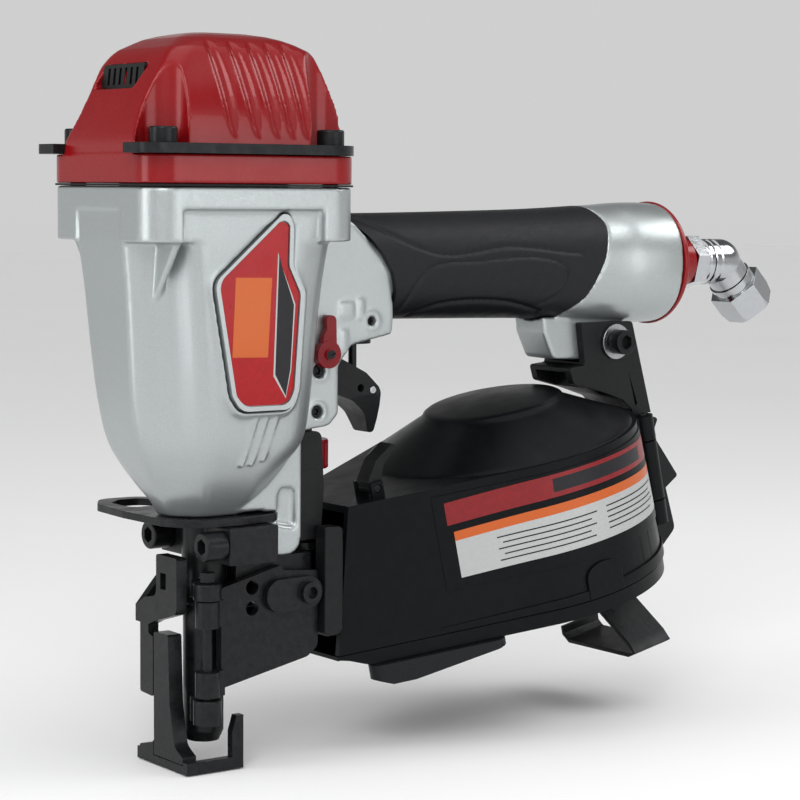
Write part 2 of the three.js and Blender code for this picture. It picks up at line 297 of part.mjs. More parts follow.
// feed mechanism on the side away from the door
part('feed_cylinder', cut(join(rx(8.5, 19.4, 50, 20.5, 46.4, 28), box(24, 40, 10.1, 14, 44, 56)), rx(6.9, 19.4, 50, 23, 44.4, 28), rx(2.8, 19.4, 50, 15, 24, 16)), M.steel);
part('feed_piston', join(rx(6.6, 19.4, 50, 31, 36, 28), rx(2.5, 19.4, 50, 8, 32, 16), box(5, 11.4, 10.6, 21.9, 47.5, 52.5), plateZ([[5, 11], [11.4, 11], [11.4, 6], [5, 4.4]], 47.5, 52.5)), M.bright);

// ---------------------------------------------------------------- magazine (drawn in its own tilted frame)
function hull(points) {
  const p = [...points].sort((a, b) => a[0] - b[0] || a[1] - b[1]), half = q => {
    const h = [];
    for (const c of q) {
      while (h.length > 1 && (h.at(-1)[0] - h.at(-2)[0]) * (c[1] - h.at(-2)[1]) - (h.at(-1)[1] - h.at(-2)[1]) * (c[0] - h.at(-2)[0]) <= 0) h.pop();
      h.push(c);
    }
    h.pop();
    return h;
  };
  return [...half(p), ...half([...p].reverse())];
}
// plan outline: drum circle run out to the feed throat
function drumPlan(R, d = 0) {
  const pts = Array.from({ length: 56 }, (_, i) => [R * Math.cos(2 * Math.PI * i / 56), R * Math.sin(2 * Math.PI * i / 56)]);
  return hull([...pts, [-106, -12 + d], [-106, 13 - d]]);
}
// the feed end is cut off upright, square to the nose
const upright = x => solid(new THREE.BoxGeometry(80, 200, 300).translate(x - 40, 0, 100).applyMatrix4(
  new THREE.Matrix4().makeTranslation(MAG.x, 0, MAG.z).multiply(new THREE.Matrix4().makeRotationY(THREE.MathUtils.degToRad(-MAG.tilt))).invert()));
const planRing = (R, d, h) => {                     // the same outline, resampled to a fixed count for lofting
  const p = drumPlan(R, d), n = 56, L = p.map((q, i) => Math.hypot(p[(i + 1) % p.length][0] - q[0], p[(i + 1) % p.length][1] - q[1]));
  return Array.from({ length: n }, (_, k) => {
    const a = -Math.PI + 2 * Math.PI * k / n, dir = [Math.cos(a), Math.sin(a)];
    let best = 0;
    p.forEach((q, i) => {
      const e = [p[(i + 1) % p.length][0] - q[0], p[(i + 1) % p.length][1] - q[1]], den = dir[0] * e[1] - dir[1] * e[0];
      if (Math.abs(den) < 1e-9) return;
      const t = (q[0] * e[1] - q[1] * e[0]) / den, s = (q[0] * dir[1] - q[1] * dir[0]) / den;
      if (t > 0 && s > -1e-6 && s < 1 + 1e-6) best = Math.max(best, t);
    });
    return [dir[0] * best, dir[1] * best, h];
  });
};
const wallShell = (h0, h1) => cut(loft([planRing(DRUM_BOT_R, 0, h0), planRing(DRUM_TOP_R, 0, h1)]),
  loft([planRing(DRUM_BOT_R - 2.6, 2.6, h0 - 1), planRing(DRUM_TOP_R - 2.6, 2.6, h1 + 1)]), box(-120, -90, -9.4, 10.4, -100, 20));
const farSide = g => [[90, -14.6 + g], [-120, -8 + g], [-120, 90], [90, 90]], nearSide = g => [[90, -14.6 - g], [90, -90], [-120, -90], [-120, -8 - g]];
const knuckle = (h0, h1) => rz(4.5, HINGE.u, HINGE.y, h0, h1, 20);
let base = join(plateZ(drumPlan(DRUM_BOT_R), BASE_H, COVER_H - 0.35), wallShell(COVER_H - 1, -1.3).intersect(plateZ(farSide(0.5), -100, 20)),
  box(54.6, 61, -14.4, -11.6, -39.4, -14.6).intersect(plateZ(farSide(0.2), -100, 20)), knuckle(-39.4, -14.6));
base = cut(base, upright(50.9), rz(5.1, HINGE.u, HINGE.y, -14.3, 5, 20), rz(5.1, HINGE.u, HINGE.y, -54.8, -39.7, 20), rz(2.1, HINGE.u, HINGE.y, -80, 20, 14));
part('magazine_base', base, M.black, magazine);
part('platform_post', cut(rz(5, 0, 0, COVER_H, -7, 24), rz(2.4, 0, 0, -30, 0, 14)), M.steel, magazine);
part('coil_platform', cut(join(rz(50, 0, 0, -50, -48, 36), rz(9, 0, 0, -50, -46, 28)), rz(5.3, 0, 0, -80, 0, 24)), M.black, magazine);
let cover = join(wallShell(COVER_H, -0.6).intersect(plateZ(nearSide(0.5), -100, -0.6)),
  cut(plateZ(drumPlan(DRUM_TOP_R), -1, 1.6), rz(51, 0, 0, -5, 5, 40)),
  turn([[51.2, -1], [54, -1], [54, 1.6], [40, 9.4], [27.5, 15.6], [20, 18.2], [8, 19.2], [0, 19.3], [0, 16.8], [8, 16.6], [19.4, 15.6], [26.6, 13.2], [39, 7], [51.2, -1]], 40),
  box(54, 62, -19.4, -15.6, -50, -40), box(54, 62, -19.4, -15.6, -14, -4), knuckle(-50, -40), knuckle(-14, -4),
  box(-78, -72.4, -20.8, -19.3, 1.2, 7.4), box(-78, -72.4, -10.7, -9.2, 1.2, 7.4));
cover = cut(cover, upright(51.2), ry(1.7, -75, 4.8, -30, 0, 14), rz(5.1, HINGE.u, HINGE.y, -39.7, -14.3, 20), rz(2.1, HINGE.u, HINGE.y, -80, 20, 14));
part('magazine_cover', cover, M.black, magazine);
part('cover_hinge_pin', rz(1.9, HINGE.u, HINGE.y, -51, -3, 16), M.bright, magazine);
part('cover_latch', join(plateY(rounded([[-77.6, 4.6, 1], [-77.6, 8, 2], [-72.4, 15, 3], [-63.4, 19.6, 1], [-62.4, 17.6, 1], [-69.6, 12, 3], [-72.4, 4.6, 1]], 3), -19, -11), ry(2.7, -75, 4.8, -19, -11, 16), ry(1.5, -75, 4.8, -20.6, -9.4, 14)), M.black, magazine);
part('guard_pad', plateZ(rounded([[-93, -21.5, 5], [-45, -45.5, 4], [-38, -32, 4], [-88, -12, 4]], 4), BASE_H - 9, BASE_H - 0.35)
  .intersect(plateY([[-100, -60], [-100, -62], [-92, -66.5], [-86, -69.4], [-78, -69.4], [-37, -62.8], [-30, -60]], -60, 0)), M.rubber, magazine);
// bent steel foot: fixed under the far side of the case, sloping to the near side, then folded back under
const strip = [[34, -61.2], [20, -61.2], [-21, -93.6], [-24, -97], [-20, -98.6], [18, -98.6], [21, -96], [21, -92.4]];
function stripOutline(p, t) {
  const off = s => p.map((q, i) => {
    const a = p[Math.max(0, i - 1)], b = p[Math.min(p.length - 1, i + 1)], l = Math.hypot(b[0] - a[0], b[1] - a[1]);
    return [q[0] - s * t / 2 * (b[1] - a[1]) / l, q[1] + s * t / 2 * (b[0] - a[0]) / l];
  });
  return [...off(-1), ...off(1).reverse()];
}
part('rear_foot', plateX(stripOutline(strip, 1.8), 33, 53).subtract(box(20, 60, -60, 60, BASE_H - 0.3, -50)), M.steel, magazine);
magazine.position.set(MAG.x, 0, MAG.z);
magazine.rotation.y = THREE.MathUtils.degToRad(-MAG.tilt);
tool.add(magazine);

// ---------------------------------------------------------------- magazine bracket
let bracket = plateY(rounded([[170, 159.2, 1], [197.4, 159.2, 1.5], [209, 119.5], [214.3, 118.2, 1], [211.5, 111.6], [226, 93.4, 1], [219.4, 88.6], [225, 71, 3], [217.5, 63.4, 2], [209.8, 65.4],
  [198.2, 122.8], [193, 127], [180, 131.2], [166.4, 134.6, 2], [164.4, 141, 1], [172.6, 141.8, 1]], 2), -13, 13);
bracket = cut(bracket, box(140, 195.4, -9.3, 9.3, 142.9, 170), box(140, 196, -9.3, 9.3, 100, 139).intersect(box(140, 176, -20, 20, 100, 139)), ry(3.3, 188, 151.1, -20, 20, 16), box(190, 200, -11, 11, 157.2, 170), box(190, 230, -13.1, -11.1, 60, 121),
  plateY([[196, 138], [201, 125], [200, 124]], -20, -9));
part('magazine_bracket', bracket, M.black);
part('bracket_washer', cut(ry(7.2, 188, 151.1, -14.5, -13.2, 28), ry(3.3, 188, 151.1, -20, 0, 16)), M.bright);
part('bracket_bolt', cut(join(ry(5, 188, 151.1, -20.6, -14.7, 28), ry(3, 188, 151.1, -16, 12, 16)), ry(3, 188, 151.1, -22, -17.6, 6)), M.steel);

tool.position.set(-ORIGIN_X, -ORIGIN_Y, 0);
const group = new THREE.Group();
group.add(tool);
export default group;
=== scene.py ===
# Looks of the coil roofing nailer. Shapes are drawn in millimetres about the driver axis and moved into the row frame.
import bpy, bmesh, json, math
import numpy as np
from mathutils import Vector, Matrix, Quaternion


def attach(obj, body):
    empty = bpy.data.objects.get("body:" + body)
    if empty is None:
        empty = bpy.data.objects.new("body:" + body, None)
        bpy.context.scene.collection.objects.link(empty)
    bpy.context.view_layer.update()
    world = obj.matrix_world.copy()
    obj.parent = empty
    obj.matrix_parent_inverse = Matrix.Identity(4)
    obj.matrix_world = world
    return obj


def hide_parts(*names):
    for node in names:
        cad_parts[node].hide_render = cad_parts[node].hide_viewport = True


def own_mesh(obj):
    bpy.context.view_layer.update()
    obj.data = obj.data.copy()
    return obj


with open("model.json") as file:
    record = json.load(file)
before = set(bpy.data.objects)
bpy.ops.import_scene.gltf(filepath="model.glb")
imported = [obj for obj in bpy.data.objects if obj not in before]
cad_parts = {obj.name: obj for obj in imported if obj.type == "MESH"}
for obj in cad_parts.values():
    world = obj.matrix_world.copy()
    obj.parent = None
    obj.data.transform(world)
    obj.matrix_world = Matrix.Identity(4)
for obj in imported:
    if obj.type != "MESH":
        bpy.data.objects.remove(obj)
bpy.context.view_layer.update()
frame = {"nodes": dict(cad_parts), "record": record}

OX = 118.2                                    # driver axis to the centre of the bounding box
BODY_OF = {n: b for b, ns in frame["record"]["behaviour"]["bodies"].items() for n in ns}
T12 = math.radians(12.3)
MAG = Matrix.Translation((138.5, 0, 111)) @ Matrix.Rotation(-T12, 4, "Y")

# ------------------------------------------------------------------ solids
def solid(verts, faces, merge=1e-4):
    me = bpy.data.meshes.new("s")
    bm = bmesh.new()
    vs = [bm.verts.new(v) for v in verts]
    for f in faces:
        try:
            bm.faces.new([vs[i] for i in f])
        except ValueError:
            pass
    bmesh.ops.remove_doubles(bm, verts=bm.verts, dist=merge)
    bmesh.ops.recalc_face_normals(bm, faces=bm.faces)
    bm.to_mesh(me)
    bm.free()
    o = bpy.data.objects.new("s", me)
    bpy.context.scene.collection.objects.link(o)
    return o

def drop(o):
    me = o.data
    bpy.data.objects.remove(o)
    bpy.data.meshes.remove(me)

def baked(o):
    bpy.context.view_layer.update()
    dg = bpy.context.evaluated_depsgraph_get()
    me = bpy.data.meshes.new_from_object(o.evaluated_get(dg))
    o.modifiers.clear()
    old, o.data = o.data, me
    bpy.data.meshes.remove(old)
    return o

def boolean(a, bs, op):
    for b in bs:
        m = a.modifiers.new("b", "BOOLEAN")
        m.operation, m.solver, m.object = op, "MANIFOLD", b
    baked(a)
    for b in bs:
        drop(b)
    return a

def cut(a, *b): return boolean(a, b, "DIFFERENCE")
def join(a, *b): return boolean(a, b, "UNION")
def meet(a, *b): return boolean(a, b, "INTERSECT")

def prism(base, top):
    n = len(base)
    return solid(list(base) + list(top), [list(range(n))[::-1], list(range(n, 2 * n))] + [[i, (i + 1) % n, n + (i + 1) % n, n + i] for i in range(n)])

def box(x0, x1, y0, y1, z0, z1): return plateZ([(x0, y0), (x1, y0), (x1, y1), (x0, y1)], z0, z1)
def plateZ(p, z0, z1): return prism([(x, y, z0) for x, y in p], [(x, y, z1) for x, y in p])
def plateY(p, y0, y1): return prism([(x, y0, z) for x, z in p], [(x, y1, z) for x, z in p])
def plateX(p, x0, x1): return prism([(x0, y, z) for y, z in p], [(x1, y, z) for y, z in p])

def rod(r, p, q, n=48, spin=0.0, r2=None):
    p, q = Vector(p), Vector(q)
    d = (q - p).normalized()
    quat = Vector((0, 0, 1)).rotation_difference(d)
    ring = lambda rr_, c: [tuple(c + quat @ Vector((rr_ * math.cos(2 * math.pi * i / n + spin), rr_ * math.sin(2 * math.pi * i / n + spin), 0))) for i in range(n)]
    return prism(ring(r, p), ring(r if r2 is None else r2, q))

def rz(r, x, y, z0, z1, n=48): return rod(r, (x, y, z0), (x, y, z1), n)
def ry(r, x, z, y0, y1, n=48): return rod(r, (x, y0, z), (x, y1, z), n)
def rx(r, y, z, x0, x1, n=48, spin=0.0): return rod(r, (x0, y, z), (x1, y, z), n, spin)

def rounded(pts, seg=8):
    out, n = [], len(pts)
    for i, p in enumerate(pts):
        x, y, r = p[0], p[1], (p[2] if len(p) > 2 else 0)
        if not r:
            out.append((x, y)); continue
        a, b = pts[i - 1], pts[(i + 1) % n]
        u, v = Vector((a[0] - x, a[1] - y)).normalized(), Vector((b[0] - x, b[1] - y)).normalized()
        half = math.acos(max(-1, min(1, u.dot(v)))) / 2
        t = r / math.tan(half)
        p0, p1 = (x + u.x * t, y + u.y * t), (x + v.x * t, y + v.y * t)
        m = (u + v).normalized() * (r / math.sin(half))
        c = (x + m.x, y + m.y)
        a0 = math.atan2(p0[1] - c[1], p0[0] - c[0])
        da = (math.atan2(p1[1] - c[1], p1[0] - c[0]) - a0 + math.pi) % (2 * math.pi) - math.pi
        out += [(c[0] + r * math.cos(a0 + da * k / seg), c[1] + r * math.sin(a0 + da * k / seg)) for k in range(seg + 1)]
    return out

def spline(keys, n):                          # smooth run through parameter rows
    keys, out = np.array(keys, float), []
    for i in range(len(keys) - 1):
        p0, p1, p2, p3 = keys[max(i - 1, 0)], keys[i], keys[i + 1], keys[min(i + 2, len(keys) - 1)]
        for k in range(n):
            t = k / n
            out.append(0.5 * (2 * p1 + (p2 - p0) * t + (2 * p0 - 5 * p1 + 4 * p2 - p3) * t * t + (3 * p1 - p0 - 3 * p2 + p3) * t ** 3))
    return out + [keys[-1]]

def loft(rings):
    n, v, f = len(rings[0]), [p for r in rings for p in r], []
    for k in range(len(rings) - 1):
        f += [[k * n + i, k * n + (i + 1) % n, (k + 1) * n + (i + 1) % n, (k + 1) * n + i] for i in range(n)]
    return solid(v, f + [list(range(n))[::-1], [(len(rings) - 1) * n + i for i in range(n)]])

def turn(profile, n=96, m=None):              # revolved about Z; the profile ends on the axis or closes on itself
    v, f, k = [], [], len(profile)
    closed = profile[0] == profile[-1]
    prof = profile[:-1] if closed else profile
    k = len(prof)
    for i in range(n):
        a = 2 * math.pi * i / n
        v += [(r * math.cos(a), r * math.sin(a), z) for r, z in prof]
    for i in range(n):
        j = (i + 1) % n
        for q in range(k if closed else k - 1):
            w = (q + 1) % k
            f.append([i * k + q, j * k + q, j * k + w, i * k + w])
    if m is not None:
        v = [tuple(m @ Vector(p)) for p in v]
    bm_faces = []
    for q in f:
        bm_faces.append(q)
    me_v = v
    # faces at the axis collapse to triangles
    out = []
    key = [tuple(round(c, 4) for c in p) for p in me_v]
    first = {}
    idx = [first.setdefault(kk, i) for i, kk in enumerate(key)]
    for q in bm_faces:
        w = []
        for i in q:
            if idx[i] not in w:
                w.append(idx[i])
        if len(w) > 2:
            out.append(w)
    used = sorted({i for q in out for i in q})
    re = {i: s for s, i in enumerate(used)}
    return solid([me_v[i] for i in used], [[re[i] for i in q] for q in out])

ABOUT_X = Matrix(((0, 0, 1, 0), (1, 0, 0, 0), (0, 1, 0, 0), (0, 0, 0, 1)))   # Z axis onto X
def turnX(profile, yc, zc, n=96): return turn([(r, x) for r, x in profile], n, Matrix.Translation((0, yc, zc)) @ ABOUT_X)

def rr(f, b, hy, r, z, seg=12):
    out = []
    for cx, cy, a in ((b - r, hy - r, 0), (-f + r, hy - r, 90), (-f + r, -hy + r, 180), (b - r, -hy + r, 270)):
        out += [(cx + r * math.cos(math.radians(a + 90 * k / seg)), cy + r * math.sin(math.radians(a + 90 * k / seg)), z) for k in range(seg + 1)]
    return out

def oval(x, hz, hy, zc=183.0, n=96, e=0.86):
    out = []
    for i in range(n):
        t = 2 * math.pi * i / n
        c, s = math.cos(t), math.sin(t)
        out.append((x, hy * math.copysign(abs(c) ** e, c), zc + hz * math.copysign(abs(s) ** e, s)))
    return out

def sweep(points, r, n=12, closed=False):     # round wire through points
    pts, m = [Vector(p) for p in points], len(points)
    rings, up = [], None
    for i in range(m):
        d = (pts[min(i + 1, m - 1)] - pts[max(i - 1, 0)]).normalized()
        if up is None:
            up = d.orthogonal().normalized()
        up = (up - d * up.dot(d)).normalized()
        s = d.cross(up)
        rings.append([tuple(pts[i] + (up * math.cos(2 * math.pi * k / n) + s * math.sin(2 * math.pi * k / n)) * r) for k in range(n)])
    return loft(rings)

def inside_magazine(o):
    o.data.transform(MAG)
    return o

# ------------------------------------------------------------------ materials
def material(name, base, rough, metal=0.0, coat=0.0, spot=None, spot_scale=300.0, spot_mix=0.25, bump=0.1, bump_scale=900.0, rough_var=0.08,
             bump2=0.0, bump2_scale=60.0, spec=0.5, coat_rough=0.08, streak=None, distance=0.0004):
    m = bpy.data.materials.new(name)
    m.use_nodes = True
    t = m.node_tree
    N, L = t.nodes, t.links
    b = N["Principled BSDF"]
    b.inputs["Metallic"].default_value = metal
    b.inputs["Specular IOR Level"].default_value = spec
    b.inputs["Coat Weight"].default_value = coat
    b.inputs["Coat Roughness"].default_value = coat_rough
    co = N.new("ShaderNodeTexCoord")
    src = co.outputs["Object"]
    def noise(scale, detail=4.0, stretch=None):
        n = N.new("ShaderNodeTexNoise")
        n.inputs["Scale"].default_value = scale
        n.inputs["Detail"].default_value = detail
        if stretch:
            mp = N.new("ShaderNodeMapping")
            mp.inputs["Scale"].default_value = stretch
            L.new(src, mp.inputs["Vector"])
            L.new(mp.outputs["Vector"], n.inputs["Vector"])
        else:
            L.new(src, n.inputs["Vector"])
        return n.outputs["Fac"]
    n1 = noise(spot_scale, 6.0, streak)
    ramp = N.new("ShaderNodeValToRGB")
    ramp.color_ramp.elements[0].position, ramp.color_ramp.elements[1].position = 0.35, 0.7
    s = spot or tuple(c * 0.8 for c in base)
    mixd = tuple(base[i] * (1 - spot_mix) + s[i] * spot_mix for i in range(3))
    ramp.color_ramp.elements[0].color = (*base, 1)
    ramp.color_ramp.elements[1].color = (*mixd, 1)
    L.new(n1, ramp.inputs["Fac"])
    L.new(ramp.outputs["Color"], b.inputs["Base Color"])
    n2 = noise(spot_scale * 0.37, 5.0, streak)
    mr = N.new("ShaderNodeMapRange")
    mr.inputs["From Min"].default_value, mr.inputs["From Max"].default_value = 0.3, 0.7
    mr.inputs["To Min"].default_value, mr.inputs["To Max"].default_value = max(rough - rough_var, 0.02), rough + rough_var
    L.new(n2, mr.inputs["Value"])
    L.new(mr.outputs["Result"], b.inputs["Roughness"])
    normal = None
    for strength, scale in ((bump, bump_scale), (bump2, bump2_scale)):
        if strength:
            bp = N.new("ShaderNodeBump")
            bp.inputs["Strength"].default_value = strength
            bp.inputs["Distance"].default_value = distance
            L.new(noise(scale, 3.0, streak), bp.inputs["Height"])
            if normal:
                L.new(normal, bp.inputs["Normal"])
            normal = bp.outputs["Normal"]
    if normal:
        L.new(normal, b.inputs["Normal"])
    return m

SILVER = material("silver_paint", (0.335, 0.362, 0.365), 0.34, 0.70, 0.15, (0.43, 0.455, 0.46), 2600, 0.6, 0.10, 1500, 0.05, 0.08, 90, coat_rough=0.2)
RED = material("red_enamel", (0.21, 0.002, 0.004), 0.27, 0.10, 0.22, (0.19, 0.001, 0.003), 240, 0.5, 0.05, 700, 0.05, 0.05, 120, coat_rough=0.10, spec=0.25)
REDP = material("red_plastic", (0.30, 0.002, 0.005), 0.27, 0.0, 0.1, (0.23, 0.002, 0.004), 300, 0.5, 0.05, 1600, 0.05, spec=0.22)
# a darkened copy of the red plastic: painted shade, set for the lock lever in shadow and used on the depth dial too
RED_SHADED = material("red_plastic_painted_shade", (0.15, 0.0015, 0.004), 0.3, 0.0, 0.1, (0.11, 0.0015, 0.003), 300, 0.5, 0.05, 1600, 0.05, spec=0.2)
BLACKP = material("black_plastic", (0.0045, 0.005, 0.0055), 0.42, 0.0, 0.0, (0.009, 0.0095, 0.0105), 700, 0.6, 0.25, 1900, 0.07, spec=0.20)
BLACKG = material("black_nylon", (0.0025, 0.003, 0.0035), 0.33, 0.0, 0.0, (0.005, 0.0055, 0.0065), 300, 0.5, 0.10, 1400, 0.05, 0.05, 120, spec=0.11)
STEEL = material("blackened_steel", (0.008, 0.0085, 0.0095), 0.32, 0.4, 0.0, (0.018, 0.0185, 0.02), 420, 0.6, 0.12, 1300, 0.08, 0.08, 160, spec=0.25)
RUBBER = material("grip_rubber", (0.0045, 0.005, 0.006), 0.46, 0.0, 0.0, (0.008, 0.0085, 0.010), 900, 0.6, 0.30, 2600, 0.06, spec=0.22)
SEAL = material("seal_rubber", (0.005, 0.005, 0.005), 0.6, 0.0, 0.0, (0.010, 0.010, 0.010), 800, 0.6, 0.2, 1500, 0.05, spec=0.2)
CHROME = material("chrome_plate", (0.46, 0.475, 0.49), 0.15, 1.0, 0.0, (0.40, 0.41, 0.43), 500, 0.5, 0.05, 500, 0.04, 0.04, 2200)
BRIGHT = material("bright_steel", (0.40, 0.41, 0.42), 0.30, 1.0, 0.0, (0.32, 0.33, 0.34), 900, 0.6, 0.12, 1500, 0.09, streak=(1, 1, 0.12))
ALLOY = material("turned_alloy", (0.46, 0.47, 0.48), 0.28, 1.0, 0.0, (0.40, 0.41, 0.42), 900, 0.6, 0.12, 1200, 0.08, streak=(0.2, 0.2, 2.0))
ORANGE = material("orange_print", (0.44, 0.085, 0.012), 0.34, 0.0, 0.1, (0.46, 0.085, 0.008), 500, 0.5, 0.05, 1200, 0.04, spec=0.3)
DARKP = material("dark_print", (0.008, 0.008, 0.010), 0.36, 0.0, 0.0, (0.014, 0.014, 0.017), 500, 0.5, 0.05, 1200, 0.04, spec=0.25)
PALEP = material("pale_print", (0.38, 0.39, 0.385), 0.38, 0.1, 0.1, (0.34, 0.35, 0.345), 900, 0.5, 0.06, 1500, 0.05, spec=0.3)
REDL = material("red_print", (0.16, 0.004, 0.007), 0.34, 0.0, 0.1, (0.24, 0.005, 0.008), 500, 0.5, 0.05, 1200, 0.04, spec=0.3)
DEFAULT = {"silver_casting": SILVER, "red_enamel": RED, "red_plastic": REDP, "black_plastic": BLACKP, "black_steel": STEEL, "rubber_grip": RUBBER,
           "seal_rubber": SEAL, "chrome": CHROME, "bright_steel": BRIGHT, "light_alloy": ALLOY}
SLOT = {s["node"]: s["material_slot"] for s in frame["record"]["subparts"]}
for name, o in frame["nodes"].items():
    o.data.materials.clear()
    o.data.materials.append(DEFAULT[SLOT[name]])

# ------------------------------------------------------------------ finishing a piece
def finish_mesh(o, bevel=0.35, seg=2, angle=30, smooth=38, dissolve=0.6):
    me = o.data
    bm = bmesh.new()
    bm.from_mesh(me)
    bmesh.ops.remove_doubles(bm, verts=bm.verts, dist=0.004)
    if dissolve:
        bmesh.ops.dissolve_limit(bm, angle_limit=math.radians(dissolve), verts=bm.verts, edges=bm.edges)
    bm.to_mesh(me)
    bm.free()
    if bevel:
        m = o.modifiers.new("bevel", "BEVEL")
        m.width, m.segments, m.limit_method, m.angle_limit = bevel, seg, "ANGLE", math.radians(angle)
        m.use_clamp_overlap, m.harden_normals, m.miter_outer = True, False, "MITER_ARC"
    baked(o)
    return o

def shade(o, smooth):
    me = o.data
    for p in me.polygons:
        p.use_smooth = True
    me.set_sharp_from_angle(angle=math.radians(smooth))

made = {}
def piece(name, o, mat, node=None, body=None, bevel=0.35, seg=2, angle=30, smooth=38, dissolve=0.6, more=()):
    if bevel or dissolve:
        finish_mesh(o, bevel, seg, angle, smooth, dissolve)
    o.data.transform(Matrix.Scale(0.001, 4) @ Matrix.Translation((-OX, 0, 0)))
    shade(o, smooth)
    o.name = o.data.name = name
    o.data.materials.clear()
    o.data.materials.append(mat)
    for m in more:
        o.data.materials.append(m)
    w = o.modifiers.new("normals", "WEIGHTED_NORMAL")
    w.keep_sharp = True
    w.weight = 50
    baked(o)
    if node:
        body = BODY_OF[node]
        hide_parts(node)
    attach(o, body)
    made[name] = o
    return o

def remeshed(o, voxel, smooth_it=6, ratio=0.3, factor=0.5):   # casting: every edge and joint gets a fillet
    m = o.modifiers.new("r", "REMESH")
    m.mode, m.voxel_size, m.use_smooth_shade = "VOXEL", voxel, True
    s = o.modifiers.new("s", "SMOOTH")
    s.factor, s.iterations = factor, smooth_it
    if ratio < 1:
        d = o.modifiers.new("d", "DECIMATE")
        d.ratio = ratio
    return baked(o)

# ------------------------------------------------------------------ main housing
BODY_KEYS = [(17.6, 14, 13.6, 11.5, 93.3, 1.2), (19.8, 16.8, 15.9, 13, 97.5, 1.8), (24, 21.4, 19.8, 15.6, 103, 2.6), (30, 27.6, 26.5, 19.2, 112, 4), (34, 33, 31, 21, 121, 5), (37, 35, 33, 22, 134, 6.5),
             (39, 36, 34.5, 22, 152, 7), (41, 38, 35.6, 21.8, 176, 7), (43, 40.5, 36.5, 21.5, 193.4, 7), (43, 40.7, 36.5, 21.5, 196, 7)]
TOP_KEYS = [(43, 40.5, 36.5, 18.5, 193.4), (43.6, 42.5, 37.2, 16, 213)]
def hollowed(f, b, hy, r, z, d):               # body ring whose two front corners are drawn in by d
    ring, n = rr(f, b, hy, r, z), 13
    for q in (1, 2):
        for k in range(n):
            w = d * math.sin(math.pi * k / (n - 1)) ** 2 / math.sqrt(2)
            x, y, zz = ring[q * n + k]
            ring[q * n + k] = (x + w, y - w if q == 1 else y + w, zz)
    return ring
def grown(pts, d):                             # outline pushed outwards by d
    n, out = len(pts), []
    turnw = sum(pts[i - 1][0] * pts[i][1] - pts[i][0] * pts[i - 1][1] for i in range(n))
    sg = 1 if turnw > 0 else -1
    for i in range(n):
        a, b = Vector(pts[i - 1]), Vector(pts[(i + 1) % n])
        t = (b - a)
        if t.length < 1e-6:
            continue
        t.normalize()
        out.append((pts[i][0] + sg * t.y * d, pts[i][1] - sg * t.x * d))
    return out
def grip_rings(d=0.0): return [oval(x, hz + d, hy + d) for x, hz, hy in spline([(49, 20.2, 17.2), (75, 20.4, 17.6), (110, 21, 18.2), (150, 22, 19.4), (184, 23.7, 21.6)], 8)]
def grip_side(o): return rounded([(51 + o, 210), (52.6 + o, 202.4), (57.4 + o, 200.1, 6), (63.2 + o, 194.9, 8), (68.7 + o, 188.2, 8), (73.2 + o, 180.8, 8), (75.4 + o, 173.6, 8), (76 + o, 166, 8), (76 + o, 155),
    (156 - o, 155), (160.5 - o, 163, 4), (168 - o, 170, 8), (175.5 - o, 185, 10), (179 - o, 199, 6), (176 - o, 206, 2), (174 - o, 210)], 6)
def badge_pts(o): return rounded([(12.5, 205.5 + o, 3), (15 + o, 199, 6), (14.6 + o, 185, 6), (19.6 + o, 175, 4), (17 + o, 140.5, 6), (14.5 + o, 133.5 - o, 5), (-7 - o, 133.5 - o, 6), (-10.8 - o, 139, 5), (-18 - o, 179.5, 6)], 8)

